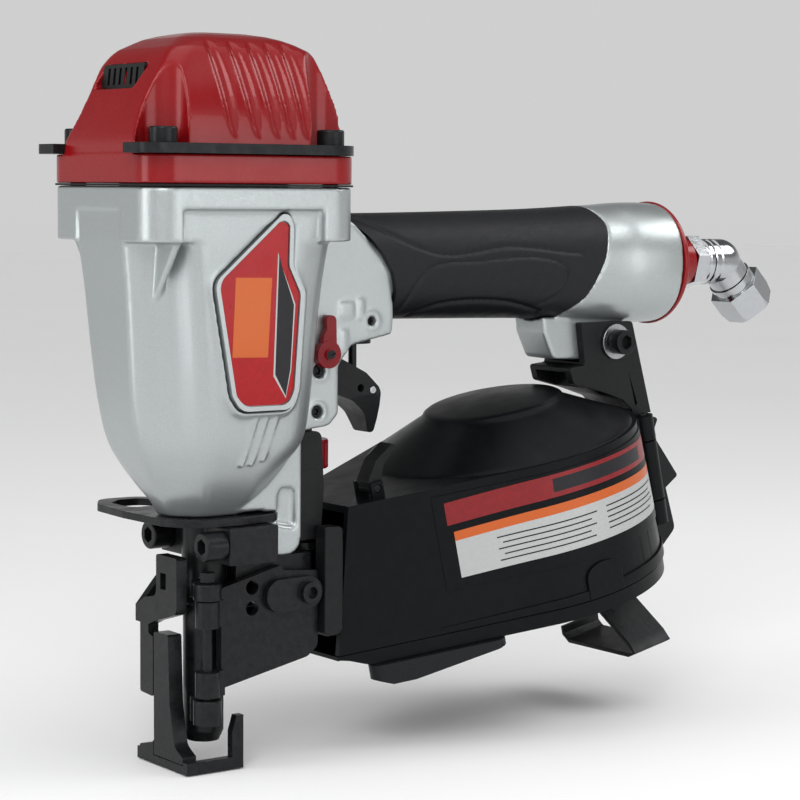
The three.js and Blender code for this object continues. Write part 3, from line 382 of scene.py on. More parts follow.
def housing():
    body = join(loft([hollowed(*k) for k in spline(BODY_KEYS, 6)]), loft([rr(*k) for k in TOP_KEYS]))
    head = [(x, y) for x, y, z in rr(44, 44, 39, 12, 0)]
    corner = [box(-50, -31.5, -45, -16, 193.4, 213), box(-50, -31.5, 16, 45, 193.4, 213), box(27, 50, -45, -18, 193.4, 213), box(27, 50, 18, 45, 193.4, 213), box(-50, 50, -45, 45, 205, 213)]
    lugs = [meet(c, plateZ(head, 193.4, 212.9)) for c in corner]
    ribs = [plateX([(s * 37.6, 193.6), (s * 20, 193.6), (s * 20, 170)], -33.7, -31.3) for s in (1, -1)]
    web = plateY(rounded([(18, 124), (33, 122.6), (46, 124, 4), (50.3, 128.5, 4), (50, 146.3, 5), (56, 154, 5), (74.8, 157.6, 1.5), (75.3, 166), (74.6, 173.5, 8), (72.4, 180.6, 8), (68, 187.9, 8), (62.6, 194.5, 8),
        (56.8, 199.8, 6), (52, 202.2), (18, 202.2)]), -15, 15)
    core = loft([oval(*k) for k in spline([(38, 17.3, 14.6), (180, 19.6, 16.8), (209, 20.5, 18), (215, 21, 18.5)], 4)])
    flare = cut(loft([oval(x, a, b, 182.8) for x, a, b in spline([(150, 22, 19.4), (184, 23.8, 21.8), (195, 24.6, 23.6), (206, 24.9, 24.6), (215, 24.7, 24.6)], 8)]), plateY(grip_side(-0.4), -40, 40))
    leg = cut(plateY(rounded([(5, 94), (17.5, 94), (17.5, 78.2), (25.5, 76.6), (33.9, 77, 6), (33.9, 126), (5, 126)]), -14.4, 14.4), box(0, 24, -20, 20, 90, 93.4))
    lug = cut(plateY(rounded([(153, 166), (153.5, 156), (159, 144.5, 3), (194.5, 143.2, 5), (195, 166)]), -9, 9), meet(loft(grip_rings(0.4)), plateY(grip_side(-0.4), -40, 40)))
    pads = [prism([(x, sy * 27, z) for x, z in grown(badge_pts(0), 6.5)], [(x, sy * 36.2, z) for x, z in grown(badge_pts(0), 1.5)]) for sy in (1, -1)]
    flutes = [rod(1.25, (x0, sy * y0, 131), (x1, sy * y1, z1), 16, 0, 0.8) for sy in (1, -1) for x0, y0, x1, y1, z1 in ((1.5, 33.4, -1.5, 28.2, 112.5), (5.8, 33.4, 2.6, 28.3, 113), (10.2, 33.2, 7.2, 28.8, 114.4))]
    bosses = [ry(3.7, x, z, sy * 14, sy * 15.5, 40) for x, z in ((65, 162.8), (41, 144.8), (40.4, 129.5)) for sy in (-1,)]
    marks = [plateY(rounded([(x0, z0, 0.8), (x1, z0, 0.8), (x1, z1, 0.8), (x0, z1, 0.8)], 4), -15.45, -14) for x0, x1, z0, z1 in ((50.5, 56.5, 164.5, 170), (58.2, 61, 163.4, 171), (50.6, 53.6, 151.4, 159.6))]
    h = join(body, *lugs, *ribs, web, core, flare, leg, lug, *pads, *flutes, *bosses, *marks)
    h = cut(h, turn([(0, 92), (9, 92), (9, 101.2), (15.4, 101.2), (15.4, 104), (20.4, 108.2), (25.3, 116), (25.3, 122), (28, 126), (28, 204), (31.6, 204), (31.6, 220), (0, 220)]),
        rx(12.3, 0, 183, 20, 220), rx(19.1, 0, 182.6, 202.5, 220), box(36.4, 62, -10.3, 10.3, 112, 152.4), box(34.2, 48, -10.3, 10.3, 112, 140),
        rz(6.4, 66.5, 0, 140, 176), rz(7.3, 66.5, 0, 140, 155.5),
        ry(2.7, 41, 144.8, -20, 20), ry(2.45, 40.4, 129.5, -20, 20), ry(2.75, 41, 144.8, -20, -14.2), ry(2.6, 40.4, 129.5, -20, -14.2),
        ry(1.9, 65, 162.8, -20, -11.6), ry(2.4, 43, 151.1, -20, 0), ry(4.2, 188, 151.1, -20, 20), plateY(rounded([(23, 88.4, 1.5), (31.2, 86.6, 1.5), (31.2, 101.4, 1.5), (25.4, 102.4, 1.5), (23.4, 99, 1)], 5), -20, -12.4),
        *[rz(3.2, sx * 35, sy * 30.6, 198, 230, 24) for sx in (-1, 1) for sy in (-1, 1)],
        plateY(badge_pts(0.5), -60, -31.2), plateY(badge_pts(0.5), 31.2, 60))
    return h

piece("housing_casting", remeshed(housing(), 0.72, 6, 0.36), SILVER, "main_housing", bevel=0, dissolve=0, smooth=50)

def badge_rim():
    return cut(plateY(badge_pts(-0.05), 31.5, 37.4), plateY(badge_pts(-1.7), 35.9, 39))
def mirrored(o):
    o.data.transform(Matrix.Scale(-1, 4, (0, 1, 0)))
    o.data.flip_normals()
    return o
BLOCK = [(-9.2, 181.1), (6.0, 180.8), (4.3, 152.5), (-10.6, 152.9)]
PENNANT = [(8.5, 189.8), (9.9, 185.3), (14.2, 175.4), (15.9, 171.2), (14.2, 147.7), (11.9, 137.6), (6.6, 145.7)]
def shrunk(pts, d):                            # outline moved inwards by about d
    cx, cz = sum(p[0] for p in pts) / len(pts), sum(p[1] for p in pts) / len(pts)
    return [(cx + (x - cx) * (1 - d / 5.0), cz + (z - cz) * (1 - d / 24.0)) for x, z in pts]
for s, side in ((-1, "right"), (1, "left")):
    node = "side_badge_" + side
    side_of = (lambda o: mirrored(o)) if s < 0 else (lambda o: o)
    piece(node + "_rim", side_of(badge_rim()), SILVER, node, bevel=0.55, seg=3, angle=25)
    piece(node + "_face", side_of(plateY(badge_pts(-1.95), 35.5, 36.75)), REDP, body="housing", bevel=0.5, seg=3)
    piece(node + "_block", side_of(plateY(BLOCK, 36.7, 36.84)), ORANGE, body="housing", bevel=0.04, seg=1)
    piece(node + "_pennant_edge", side_of(plateY(PENNANT, 36.7, 36.84)), PALEP, body="housing", bevel=0.04, seg=1)
    piece(node + "_pennant", side_of(plateY(shrunk(PENNANT, 0.75), 36.7, 36.9)), DARKP, body="housing", bevel=0.03, seg=1)

# ------------------------------------------------------------------ cylinder head
def plate_cut(d=0.0):
    p = plateZ(rounded([(45.5, 42, 17), (-48, 42, 7), (-48, -42, 7), (45.5, -42, 17)], 12), 224.35 - d, 227.95 + d)
    return cut(p, box(-60, -27 - d, -25.4 + d, 25.4 - d, 200, 250), box(-60, 37 - d, -22 + d, 22 - d, 200, 250), box(-27.5 + d, 27.5 - d, -33 + d, 33 - d, 200, 250))
BOLTS = [(sx * 35, sy * 30.6) for sx in (-1, 1) for sy in (-1, 1)]
piece("guard_plate", cut(plate_cut(), *[rz(3.2, x, y, 200, 250, 32) for x, y in BOLTS]), STEEL, "bumper_plate", bevel=0.6, seg=3)
piece("gasket", cut(plateZ([(x, y) for x, y, z in rr(44.7, 44.7, 39.7, 12.4, 0)], 213.05, 213.8), rz(32, 0, 0, 200, 220, 72), *[rz(3.2, x, y, 200, 250, 24) for x, y in BOLTS]), SEAL, "cap_gasket", bevel=0.15, seg=2)

def cap():
    keys = [(43.6, 43.6, 32.7, 8, 223.2), (43.2, 43.4, 32.7, 8, 229), (38.5, 42.4, 32.2, 8, 240), (33.5, 39.4, 29.8, 7, 250), (28.2, 35.2, 26.2, 7, 258.6), (25, 32.6, 24, 7, 262)]
    c = join(plateZ([(x, y) for x, y, z in rr(44.2, 44.2, 39.2, 12, 0)], 213.9, 224.2),
             loft([rr(*k) for k in spline(keys, 5)] + [rr(*k) for k in ((21, 28.8, 21.2, 7, 264.2), (18, 25, 18.5, 7, 265.8), (14, 21, 15, 6.5, 267), (9, 15, 10, 6, 268), )]))
    c = cut(c, *[rz(9.6, sx * 35.4, sy * 31, 224.2, 280, 48) for sx in (-1, 1) for sy in (-1, 1)])
    ribs = []
    prof = [(32.7, 230.5), (32.6, 235), (32.2, 240), (31.3, 245), (29.8, 250), (28.2, 254.4), (26.2, 258.6), (24, 262), (21.6, 264.2), (19, 265.8), (17, 266.6)]
    for s in (-1, 1):                                   # pleats pressed into both sides, from the shoulder to the bolt plate
        for x0, x1 in ((-6.5, -11.6), (3.4, -2.4), (11.6, 5.7), (18.2, 12.8), (24.4, 19.6)):
            line = []
            for i, (y, z) in enumerate(prof):
                a, b = prof[max(i - 1, 0)], prof[min(i + 1, len(prof) - 1)]
                n = Vector((b[1] - a[1], a[0] - b[0])).normalized()
                t = i / (len(prof) - 1)
                o = 2.9 - 1.3 * math.sin(math.pi * min(t * 1.15, 1) ** 0.8)
                line.append((x0 + (x1 - x0) * min(1, t * 1.5) ** 0.8, s * (y + n.x * o), z + n.y * o))
            ribs.append(sweep(line, 3.1, 18))
    c = cut(c, *ribs)
    c = cut(c, plate_cut(0.2), turn([(0, 200), (31.6, 200), (31.6, 231), (25, 237), (14, 240), (14, 250), (0, 252)]),
            plateX(rounded([(-9, 247.5, 2), (21, 247.5, 2), (17.5, 256.5, 2), (-12, 256.5, 2)], 5), -50, -6), *[rz(3.2, x, y, 200, 225.2, 24) for x, y in BOLTS])
    return c
piece("cap_shell", remeshed(cap(), 0.5, 9, 0.4), RED, "cylinder_cap", bevel=0, dissolve=0, smooth=50)
# a black plate with slots behind the vent window: painted shade for the dark inside of the cap
piece("vent_painted_shade_plate", cut(plateX(rounded([(-8.7, 247.7, 1), (20.7, 247.7, 1), (17.3, 256.3, 1), (-11.7, 256.3, 1)], 4), -31.2, -30), *[plateX([(y, 249), (y + 1.6, 249), (y + 0.4, 255), (y - 1.2, 255)], -33, -28) for y in (-6, -2, 2, 6, 10, 14)]), BLACKP, body="housing", bevel=0.15)
piece("exhaust_bar", plateX(rounded([(3.2, 247.2), (5.0, 247.2), (4.2, 256.8), (2.4, 256.8)], 2), -31, -27.5), RED, body="housing", bevel=0.3)
for i, (x, y) in enumerate([(-35, -30.6), (-35, 30.6), (35, -30.6), (35, 30.6)], 1):
    z = 228.05
    b = join(turn([(0, z), (5, z), (5, z + 5.1), (4.6, z + 5.6), (0, z + 5.6)], 48, Matrix.Translation((x, y, 0))), rz(2.9, x, y, 200, z + 1, 24))
    b = cut(b, rz(2.9, x, y, z + 2.4, z + 9, 6))
    piece(f"cap_screw_{i}", b, STEEL, f"cap_bolt_{i}", bevel=0.25, seg=2)

# ------------------------------------------------------------------ handle
def grip():
    # the long raised waves moulded into the sleeve, as lines in (x, z) on both sides
    def dense(pts, n=14): return [p for p in spline(pts, n)]
    lines = [dense([(60, 202), (72, 196.5), (84, 191), (98, 187.5), (112, 188.5), (126, 190.5), (140, 190), (154, 188.5), (164, 187.6)]),
             dense([(80, 166), (84, 176), (91, 182.5), (100, 184.6), (112, 184.8), (126, 186), (140, 186.4), (152, 184.5), (158, 180), (155, 172), (148, 167.5)]),
             dense([(86, 164), (96, 168), (110, 169.5), (126, 169), (138, 167), (148, 164.5)])]
    P = np.concatenate([np.array(l) for l in lines])
    rings, n = [], 220
    keys = spline([(49, 20.2, 17.2), (75, 20.4, 17.6), (110, 21, 18.2), (150, 22, 19.4), (184, 23.7, 21.6)], 48)
    for x, hz, hy in keys:
        ring = np.array(oval(x, hz, hy, 183.0, n))
        d = np.sqrt(((ring[:, None, (0, 2)] - P[None]) ** 2).sum(2)).min(1)
        side = np.clip((np.abs(ring[:, 1]) - 5) / 5, 0, 1)
        depth = 0.75 * np.exp(-(d / 0.85) ** 2) * side
        c = np.array((x, 0, 183.0))
        v = ring - c
        v[:, 0] = 0
        ring = ring - v / np.linalg.norm(v, axis=1)[:, None] * depth[:, None]
        rings.append([tuple(p) for p in ring])
    g = loft(rings)
    g = cut(g, loft([oval(*k) for k in [(40, 17.6, 14.9), (180, 19.9, 17.1), (190, 20.1, 17.3)]]))
    return meet(g, plateY(grip_side(0), -40, 40))
piece("grip_sleeve", grip(), RUBBER, "handle_grip", bevel=0.5, seg=3, angle=50, smooth=40, dissolve=0)
piece("rear_cap", cut(turnX([(0, 203), (18.6, 203), (18.6, 215.3), (25.2, 215.3), (25.5, 215.8), (25.5, 216.9), (25.0, 217.6), (17, 218.6), (14.6, 219.4), (13.2, 221), (12.4, 224), (11.2, 229), (10.7, 232), (10.5, 235.5), (10.0, 236), (0, 236)], 0, 182.6),
    rx(5.4, 0, 182.6, 190, 240), rx(14, 0, 182.6, 190, 214)), RED, "end_cap", bevel=0.3)
SX, SZ, D = 257, 182.6, math.sqrt(0.5)
def al(s): return (SX + D * s, 0, SZ - D * s)
nut = join(rx(11.5, 0, SZ, 236.3, 243, 6, 0.26), turnX([(0, 242.5), (9.5, 242.5), (9.5, 243.6), (8.9, 244.1), (8.9, 244.9), (9.5, 245.4), (9.5, 247.2), (9.1, 247.6), (0, 247.6)], 0, SZ), rx(5.5, 0, SZ, 247, 252.5), rx(5.1, 0, SZ, 226, 237))
piece("fitting_nut", cut(nut, rx(3, 0, SZ, 220, 260)), CHROME, "swivel_nut", bevel=0.45, seg=3)
ball = turn([(9.7 * math.cos(a), 9.7 * math.sin(a)) if abs(math.cos(a)) > 1e-6 else (0, 9.7 * math.sin(a)) for a in np.linspace(-math.pi / 2, math.pi / 2, 33)], 64, Matrix.Translation((SX, 0, SZ)))
elbow = join(turnX([(0, 248), (9.3, 248), (9.7, 248.4), (9.7, 250.2), (9.2, 250.7), (9.2, 251.4), (9.7, 251.9), (9.7, 257), (0, 257)], 0, SZ), ball, rod(8.8, al(0), al(9.6), 64))
piece("fitting_elbow", cut(elbow, rx(5.8, 0, SZ, 240, 253), rx(3, 0, SZ, 250, 258), rod(3, al(0), al(20), 32), rod(5.4, al(4.5), al(20), 48)), CHROME, "swivel_elbow", bevel=0.35, seg=3)
coup = join(rod(9.5, al(9.9), al(14.5), 64), meet(rod(12.15, al(14), al(26.9), 6, 0.52), rod(14.4, al(13), al(26.95), 64, 0, 11.2)), rod(5, al(5), al(11), 48))
piece("fitting_hexagon", cut(coup, rod(3, al(0), al(30), 32), rod(6, al(15), al(30), 64), rod(7.4, al(25.8), al(30), 64)), CHROME, "swivel_coupler", bevel=0.4, seg=3)

# ------------------------------------------------------------------ trigger group
tr = plateY(rounded([(37.2, 142, 3), (38, 149, 3), (50, 149.8, 3), (55.5, 148.4, 4), (66.8, 142.8, 5), (73.4, 136.6, 5), (74, 130, 8), (73.9, 124.5, 3), (73.3, 119.2, 1.4), (70.6, 119.4, 1.4), (67.6, 127, 8), (61.4, 132.2, 6), (53.4, 134.9, 6), (46, 138.6), (41, 141)], 8), -9, 9)
tr = cut(tr, plateY([(30, 160), (66, 160), (73.3, 139.6), (73.2, 132.6), (65, 131.2), (59, 136), (50.5, 139), (30, 143.5)], -5.4, 5.4), box(40.5, 50, -5.4, 5.4, 125, 150),
         ry(2.7, 41, 144.8, -20, 20), ry(1.7, 70, 136, -20, 20, 32), ry(1.5, 64.2, 137, -20, -5, 32))
for sg in (1, -1):
    tr = cut(tr, prism([(60, sg * 9.2, 135), (90, sg * 9.2, 135), (90, sg * 3.8, 117), (60, sg * 3.8, 117)], [(60, sg * 20, 135), (90, sg * 20, 135), (90, sg * 20, 117), (60, sg * 20, 117)]))
piece("trigger_lever", tr, BLACKP, "trigger", bevel=0.9, seg=3, angle=40)
piece("cross_pin_upper", cut(ry(2.5, 41, 144.8, -14, 14), ry(1.5, 41, 144.8, -15, -12.6, 6)), STEEL, "trigger_pin", bevel=0.4, seg=3)
piece("cross_pin_lower", cut(ry(2.2, 40.4, 129.5, -14, 14), ry(1.3, 40.4, 129.5, -15, -12.6, 6)), STEEL, "frame_pin", bevel=0.4, seg=3)
lk = join(plateY(rounded([(39.6, 151, 1), (40.6, 157.6, 3), (42.2, 160.8, 3), (41.6, 165.6, 2.2), (46.2, 165.8, 2.2), (46.6, 151, 1)], 8), -18.6, -15.7), ry(5.2, 43, 151.1, -19, -15.4), ry(2.1, 43, 151.1, -16, -11, 32), ry(2, 43, 151.1, -19.8, -18, 32))
# the lock lever takes the darkened red copy: painted shade
piece("lock_arm", lk, RED_SHADED, "lock_lever", bevel=0.5, seg=3)
piece("lock_arm_cap", plateY(rounded([(40.8, 149.4, 1.5), (45.4, 149.6, 2), (44.8, 153.2, 1.5), (41.6, 152.2, 1.2)], 6), -20.0, -19.6), STEEL, body="lock_lever", bevel=0.15)
piece("web_pin_end", cut(ry(1.85, 65, 162.8, -13.6, -11.7), ry(1.1, 65, 162.8, -15, -12.6, 6)), STEEL, body="housing", bevel=0.15)

# ------------------------------------------------------------------ contact arm guide, nose
gt = cut(plateY(rounded([(34.4, 81, 1), (34.4, 121.6, 1), (45.6, 121.8, 3), (46.8, 100), (45.4, 81, 1)], 6), -10, 10),
         rz(6.4, 44.6, 0, 70, 100), rz(4.1, 44.6, 0, 90, 130), rz(9.4, 44.6, 0, 106.6, 118.4, 72), box(44.6, 60, -6, 6, 70, 96))
piece("guide_cover", gt, BLACKP, "guide_tube_cover", bevel=0.6, seg=3)
dial = cut(turn([(0, 107), (8.6, 107), (9, 107.5), (9, 117.5), (8.6, 118), (0, 118)], 72, Matrix.Translation((44.6, 0, 0))), rz(4.1, 44.6, 0, 100, 120), *[rz(0.75, 44.6 + 9.25 * math.cos(a), 9.25 * math.sin(a), 108.2, 116.8, 12) for a in np.linspace(0, 2 * math.pi, 25)[:-1]])
# the depth dial takes the same darkened red copy: painted shade
piece("depth_wheel", dial, RED_SHADED, "depth_dial", bevel=0.2, seg=2)

def arm():
    front = plateX(rounded([(-4.5, 49.5, 1), (5.8, 49.5, 1), (5.8, 3.4), (-14.8, 3.4), (-14.8, 6), (-9, 9, 4), (-5.6, 24)], 4), -18, -12.2)
    side = plateX(rounded([(9.6, 51.6, 1), (19.2, 51.6, 1), (19.2, 57.6, 2), (12.5, 61.4, 3), (4, 63, 3), (4, 78.6, 1), (-10.6, 78.6, 1), (-10.6, 58, 3), (5.4, 53.4, 1)], 6), -18, -13.6)
    left = plateX(rounded([(6.4, 25, 1), (15.8, 25.6, 1), (15.8, 54), (9.8, 54), (9.8, 48.4, 1), (6.4, 47.4)], 4), -18, -13.6)
    a = join(plateX([(5.2, 20), (6.6, 20), (6.6, 48), (5.2, 48)], -17, -13.6), front, side, left, plateY([(-18, 51.6), (-13, 51.6), (-7, 59.2), (47.4, 59.2), (47.4, 67.8), (-9.5, 67.8), (-18, 57.8)], 15.8, 19.2), box(42, 47.4, -3, 19.2, 59.2, 67.8),
             box(43.0, 46.0, -3, 3, 59.2, 131.4), rz(5.6, 44.6, 0, 76, 78.8))
    return cut(a, box(-30, -10, -3, 1, 66, 72))
piece("arm_plate", arm(), STEEL, "contact_arm", bevel=0.55, seg=3)
ft = join(plateX(rounded([(-16, 0, 2), (16.2, 0, 3), (16.2, 5.6, 1), (6, 8, 2), (5.9, 19), (5.6, 3.1), (-15, 3.1), (-16, 3)], 4), -18, -12.4),
          box(-18, 6, -18.2, -14.9, 0, 4.4), plateY([(1.2, 2), (6, 2), (6, 19.8), (3, 19.8), (1.2, 14)], -18.2, -14.9), box(-18, -3, 15, 18, 0, 4.4))
piece("foot_plate", cut(ft, box(-30, -5, -15, 6.2, 3.1, 30)), STEEL, "contact_foot", bevel=0.5, seg=3)
fl = cut(plateZ(rounded([(21, -17, 4), (23.5, -14, 2), (20, 12, 8), (14, 24, 6), (13, 42, 10), (2, 54, 10), (-14, 54.5, 8), (-21.5, 42, 6), (-23, 20, 8), (-22, -8, 10), (-15, -19, 10), (4, -21, 8)], 10), 90.3, 93),
         plateZ(rounded([(-15, 27, 4), (-15.5, 42, 5), (-9, 48.5, 5), (0, 48.5, 6), (7.5, 38, 6), (8, 27, 4)], 8), 80, 100), rz(8.6, 0, 0, 80, 100))
piece("flange", fl, STEEL, "nose_flange_plate", bevel=0.7, seg=3)
def nose():
    n = join(box(-3.8, 17.1, -24.6, 24.6, 76.4, 90), rz(8.2, 0, 0, 60, 90), rz(7.7, 0, 0, 12, 61), rod(6.4, (0, 0, 8.2), (0, 0, 12.1), 48, 0, 7.7),
             box(-9.4, -1.5, -12, -5.5, 63.2, 69.4), box(-9.4, -1.5, -12, -5.5, 17.2, 26.4), rz(5.2, -7.5, -15, 63.2, 69.4), rz(5.2, -7.5, -15, 17.2, 26.4),
             plateY([(0, 30), (41.6, 38.8), (41.6, 76.3), (8, 76.5), (8, 68), (0, 68)], 6.2, 9.8), box(8, 41.6, -9.6, 9.8, 68, 76.2))
    return cut(n, rz(5.7, 0, 0, 0, 66), rz(3, 0, 0, 60, 100), box(0, 20, -5.6, 5.6, 0, 66), rz(1.9, -7.5, -15, 10, 80, 32), box(3, 27, 5, 12, 45.6, 54.4),
               rx(3.1, 19.1, 83.4, -10, 16), rx(3.1, -19.1, 83.4, -10, 16), cut(box(36, 50, -6.8, 6.8, 60, 80), box(35, 37.4, -8, 8, 59, 81)))
piece("nose_casting", remeshed(nose(), 0.4, 3, 0.4), STEEL, "nose_body", bevel=0, dissolve=0, smooth=45)
for i, s in ((1, 1), (2, -1)):
    hd = turnX([(0, -12.7), (4.9, -12.7), (5.4, -12.2), (5.4, -4.1), (0, -4.1)], s * 19.1, 83.4, 64)
    piece(f"nose_screw_{i}", cut(join(hd, rx(2.8, s * 19.1, 83.4, -5, 15)), rx(3, s * 19.1, 83.4, -14, -9.4, 6)), STEEL, f"nose_bolt_{i}", bevel=0.25, seg=2)
dr = join(plateY(rounded([(-1, 29.4, 1), (-1, 66.6, 1), (3, 67.6, 3), (25, 73, 0.6), (26.2, 70.9, 1), (41.6, 69.8, 1), (41.6, 41, 3), (37, 37.4, 4)], 6), -14, -10.4),
          box(-7.5, -0.6, -16, -11, 53, 62.7), box(-7.5, -0.6, -16, -11, 27.4, 36.7), rz(4.5, -7.5, -15, 53, 62.7), rz(4.5, -7.5, -15, 27.4, 36.7))
dr = cut(dr, rz(1.9, -7.5, -15, 10, 80, 32), ry(2.7, 12.4, 65.8, -20, -5), ry(2.7, 12.4, 58, -20, -5), ry(2, 35.7, 62.3, -20, -5))
piece("door_plate", dr, STEEL, "nose_door", bevel=0.45, seg=3)
piece("hinge_pin", join(rz(1.7, -7.5, -15, 16.6, 71, 32), rz(3.1, -7.5, -15, 69.7, 73.4, 6)), STEEL, "door_hinge_pin", bevel=0.25)
lt = join(plateY(rounded([(17.2, 55.6, 6.1), (17.2, 68, 6.1), (41.8, 68.4, 6.05), (41.8, 56.2, 6.05)], 12), -16.8, -14.3), ry(4.2, 35.7, 62.3, -19.4, -16), ry(1.8, 35.7, 62.3, -15, -10.6, 32))
piece("latch_plate", cut(lt, ry(2.2, 35.7, 62.3, -20, -17, 32)), STEEL, "door_latch", bevel=0.45, seg=3)
piece("post", plateY(rounded([(42.2, 44.6, 2), (42.2, 86.4, 1), (50.6, 86.2, 2), (50.6, 45, 3)], 6), -18, -11), BLACKP, "latch_post", bevel=0.8, seg=3)
piece("feed_tube", cut(join(turnX([(0, 20.5), (8.1, 20.5), (8.5, 20.9), (8.5, 45.2), (7.6, 46.4), (0, 46.4)], 19.4, 50), box(24, 40, 10.1, 14, 44, 56)), rx(6.9, 19.4, 50, 23, 44.4), rx(2.8, 19.4, 50, 15, 24)), STEEL, "feed_cylinder", bevel=0.3)

# ------------------------------------------------------------------ magazine
def hull(points):
    p = sorted(points)
    def half(q):
        h = []
        for c in q:
            while len(h) > 1 and (h[-1][0] - h[-2][0]) * (c[1] - h[-2][1]) - (h[-1][1] - h[-2][1]) * (c[0] - h[-2][0]) <= 1e-9:
                h.pop()
            h.append(c)
        return h[:-1]
    return half(p) + half(p[::-1])
def plan(R, d=0.0): return hull([(R * math.cos(2 * math.pi * i / 160), R * math.sin(2 * math.pi * i / 160)) for i in range(160)] + [(-106, -12 + d), (-106, 13 - d)])
def plan_ring(R, d, h, n=240):
    p, out = plan(R, d), []
    for k in range(n):
        a = -math.pi + 2 * math.pi * k / n
        dx, dy, best = math.cos(a), math.sin(a), 0
        for i, q in enumerate(p):
            e0, e1 = p[(i + 1) % len(p)][0] - q[0], p[(i + 1) % len(p)][1] - q[1]
            den = dx * e1 - dy * e0
            if abs(den) < 1e-9:
                continue
            t, s = (q[0] * e1 - q[1] * e0) / den, (q[0] * dy - q[1] * dx) / den
            if t > 0 and -1e-6 < s < 1 + 1e-6:
                best = max(best, t)
        out.append((dx * best, dy * best, h))
    return out
def shell(h0, h1, dr=0.0): return cut(loft([plan_ring(58.3 + dr, 0, h0), plan_ring(56 + dr, 0, h1)]), loft([plan_ring(55.7, 2.6, h0 - 1), plan_ring(53.4, 2.6, h1 + 1)]), box(-120, -90, -9.4, 10.4, -100, 20))
def upright(x):
    b = box(x - 80, x, -100, 100, -50, 250)
    b.data.transform(MAG.inverted())
    return b
far = lambda g: [(90, -14.6 + g), (-120, -8 + g), (-120, 90), (90, 90)]
near = lambda g: [(90, -14.6 - g), (90, -90), (-120, -90), (-120, -8 - g)]
def knuckle(h0, h1): return rz(4.5, 62, -17, h0, h1)
base = join(plateZ(plan(58.3), -60.8, -55.25), meet(shell(-55.9, -1.3), plateZ(far(0.5), -100, 20)), meet(box(54.6, 61, -14.4, -11.6, -39.4, -14.6), plateZ(far(0.2), -100, 20)), knuckle(-39.4, -14.6))
base = cut(base, upright(50.9), plateY([(-112, -62), (-88, -62), (-93, -60), (-98, -57.6), (-101, -56.7), (-112, -56.4)], -60, 60), rz(5.1, 62, -17, -14.3, 5), rz(5.1, 62, -17, -54.8, -39.7), rz(2.1, 62, -17, -80, 20))
piece("magazine_case", inside_magazine(base), BLACKG, "magazine_base", bevel=0.7, seg=3, angle=40)
dome = [(51.2, -1), (54, -1), (54.6, 0.6), (54.2, 1.8), (52.6, 3.0), (40, 9.4), (29.4, 14.7), (28.9, 15.5), (28.2, 16.6), (27, 17.3), (25, 17.7), (18, 18.4), (10, 19.0), (0, 19.3), (0, 16.8), (8, 16.6), (19.4, 15.6), (26.6, 13.2), (39, 7), (51.2, -1)]
cover = join(meet(shell(-54.9, -0.6), plateZ(near(0.5), -100, -0.6)), cut(plateZ(plan(56), -1, 1.6), rz(51, 0, 0, -5, 5, 96)), turn(dome, 160),
             box(54, 62, -19.4, -15.6, -50, -40), box(54, 62, -19.4, -15.6, -14, -4), knuckle(-50, -40), knuckle(-14, -4), box(-78, -72.4, -20.8, -19.3, 1.2, 7.4), box(-78, -72.4, -10.7, -9.2, 1.2, 7.4))
cover = cut(cover, upright(51.2), ry(1.7, -75, 4.8, -30, 0, 32), rz(5.1, 62, -17, -39.7, -14.3), rz(2.1, 62, -17, -80, 20))
piece("magazine_lid", inside_magazine(cover), BLACKG, "magazine_cover", bevel=0.7, seg=3, angle=40)

def wall_path(R):                              # near wall from the feed end to the rear hinge: straight, then round the drum
    a0 = math.atan2(-51.8, -25.9)
    t = Vector((math.cos(a0) * R, math.sin(a0) * R))
    T = Vector((-92, -19)); d = (t - T).normalized()
    pts = [(T + d * s) for s in np.arange(0, (t - T).length, 1.5)]
    a1 = math.radians(-22)
    return pts + [Vector((R * math.cos(a), R * math.sin(a))) for a in np.linspace(a0, a1, 90)]
def band(s0, s1, hlo, hhi, lift, thick, R_of=lambda h: 56 + (-h) * 2.3 / 54.9):
    """A thin curved label on the near wall between path lengths s0 and s1; hlo and hhi are its lower and upper edges along the path."""
    rows = []
    for k in range(49):
        f = k / 48
        s = s0 + (s1 - s0) * f
        col = []
        for h, off in ((hlo(f), lift), (hhi(f), lift), (hhi(f), lift + thick), (hlo(f), lift + thick)):
            P = wall_path(R_of(h) + off)
            acc = 0
            for a, b in zip(P[:-1], P[1:]):
                l = (b - a).length
                if acc + l >= s:
                    q = a + (b - a) * ((s - acc) / l)
                    n = Vector(((b - a).y, -(b - a).x)).normalized()
                    break
                acc += l
            else:
                q, n = P[-1], Vector((1, 0))
            col.append((q.x, q.y, h))
        rows.append(col)
    return loft(rows)
def on_lid(name, mat, s0, s1, hlo, hhi, lift, thick, bevel=0.0):
    lo, hi = (hlo if callable(hlo) else lambda f: hlo), (hhi if callable(hhi) else lambda f: hhi)
    piece(name, inside_magazine(band(s0, s1, lo, hi, lift, thick)), mat, body="magazine_cover", bevel=bevel, seg=2, angle=50, dissolve=0)
on_lid("lid_panel", BLACKG, 34.5, 156, lambda f: -38.6, lambda f: -1.6, -0.2, 0.65, 0.18)
on_lid("lid_rim", BLACKG, 30, 172, -54.4, lambda f: -52.4 + 2.4 * min(1, f * 1.6), -0.2, 1.1, 0.3)
on_lid("lid_tab", BLACKG, 89.5, 106.5, -54.4, lambda f: -47.5 + 6.5 * math.sqrt(max(0, 1 - (2 * f - 1) ** 2)) ** 0.8, -0.2, 1.5, 0.3)
wave = lambda f: 2.2 * math.sin(math.pi * f)
on_lid("label_red", REDL, 39, 150, lambda f: -13.6 + wave(f), lambda f: -4.8 + wave(f), 0.35, 0.2)
on_lid("label_orange", ORANGE, 41, 150, lambda f: -20.0 + wave(f), lambda f: -16.4 + wave(f), 0.35, 0.2)
on_lid("label_pale", PALEP, 41, 150, lambda f: -34.6 + 0.6 * wave(f), lambda f: -19.9 + wave(f), 0.35, 0.18)
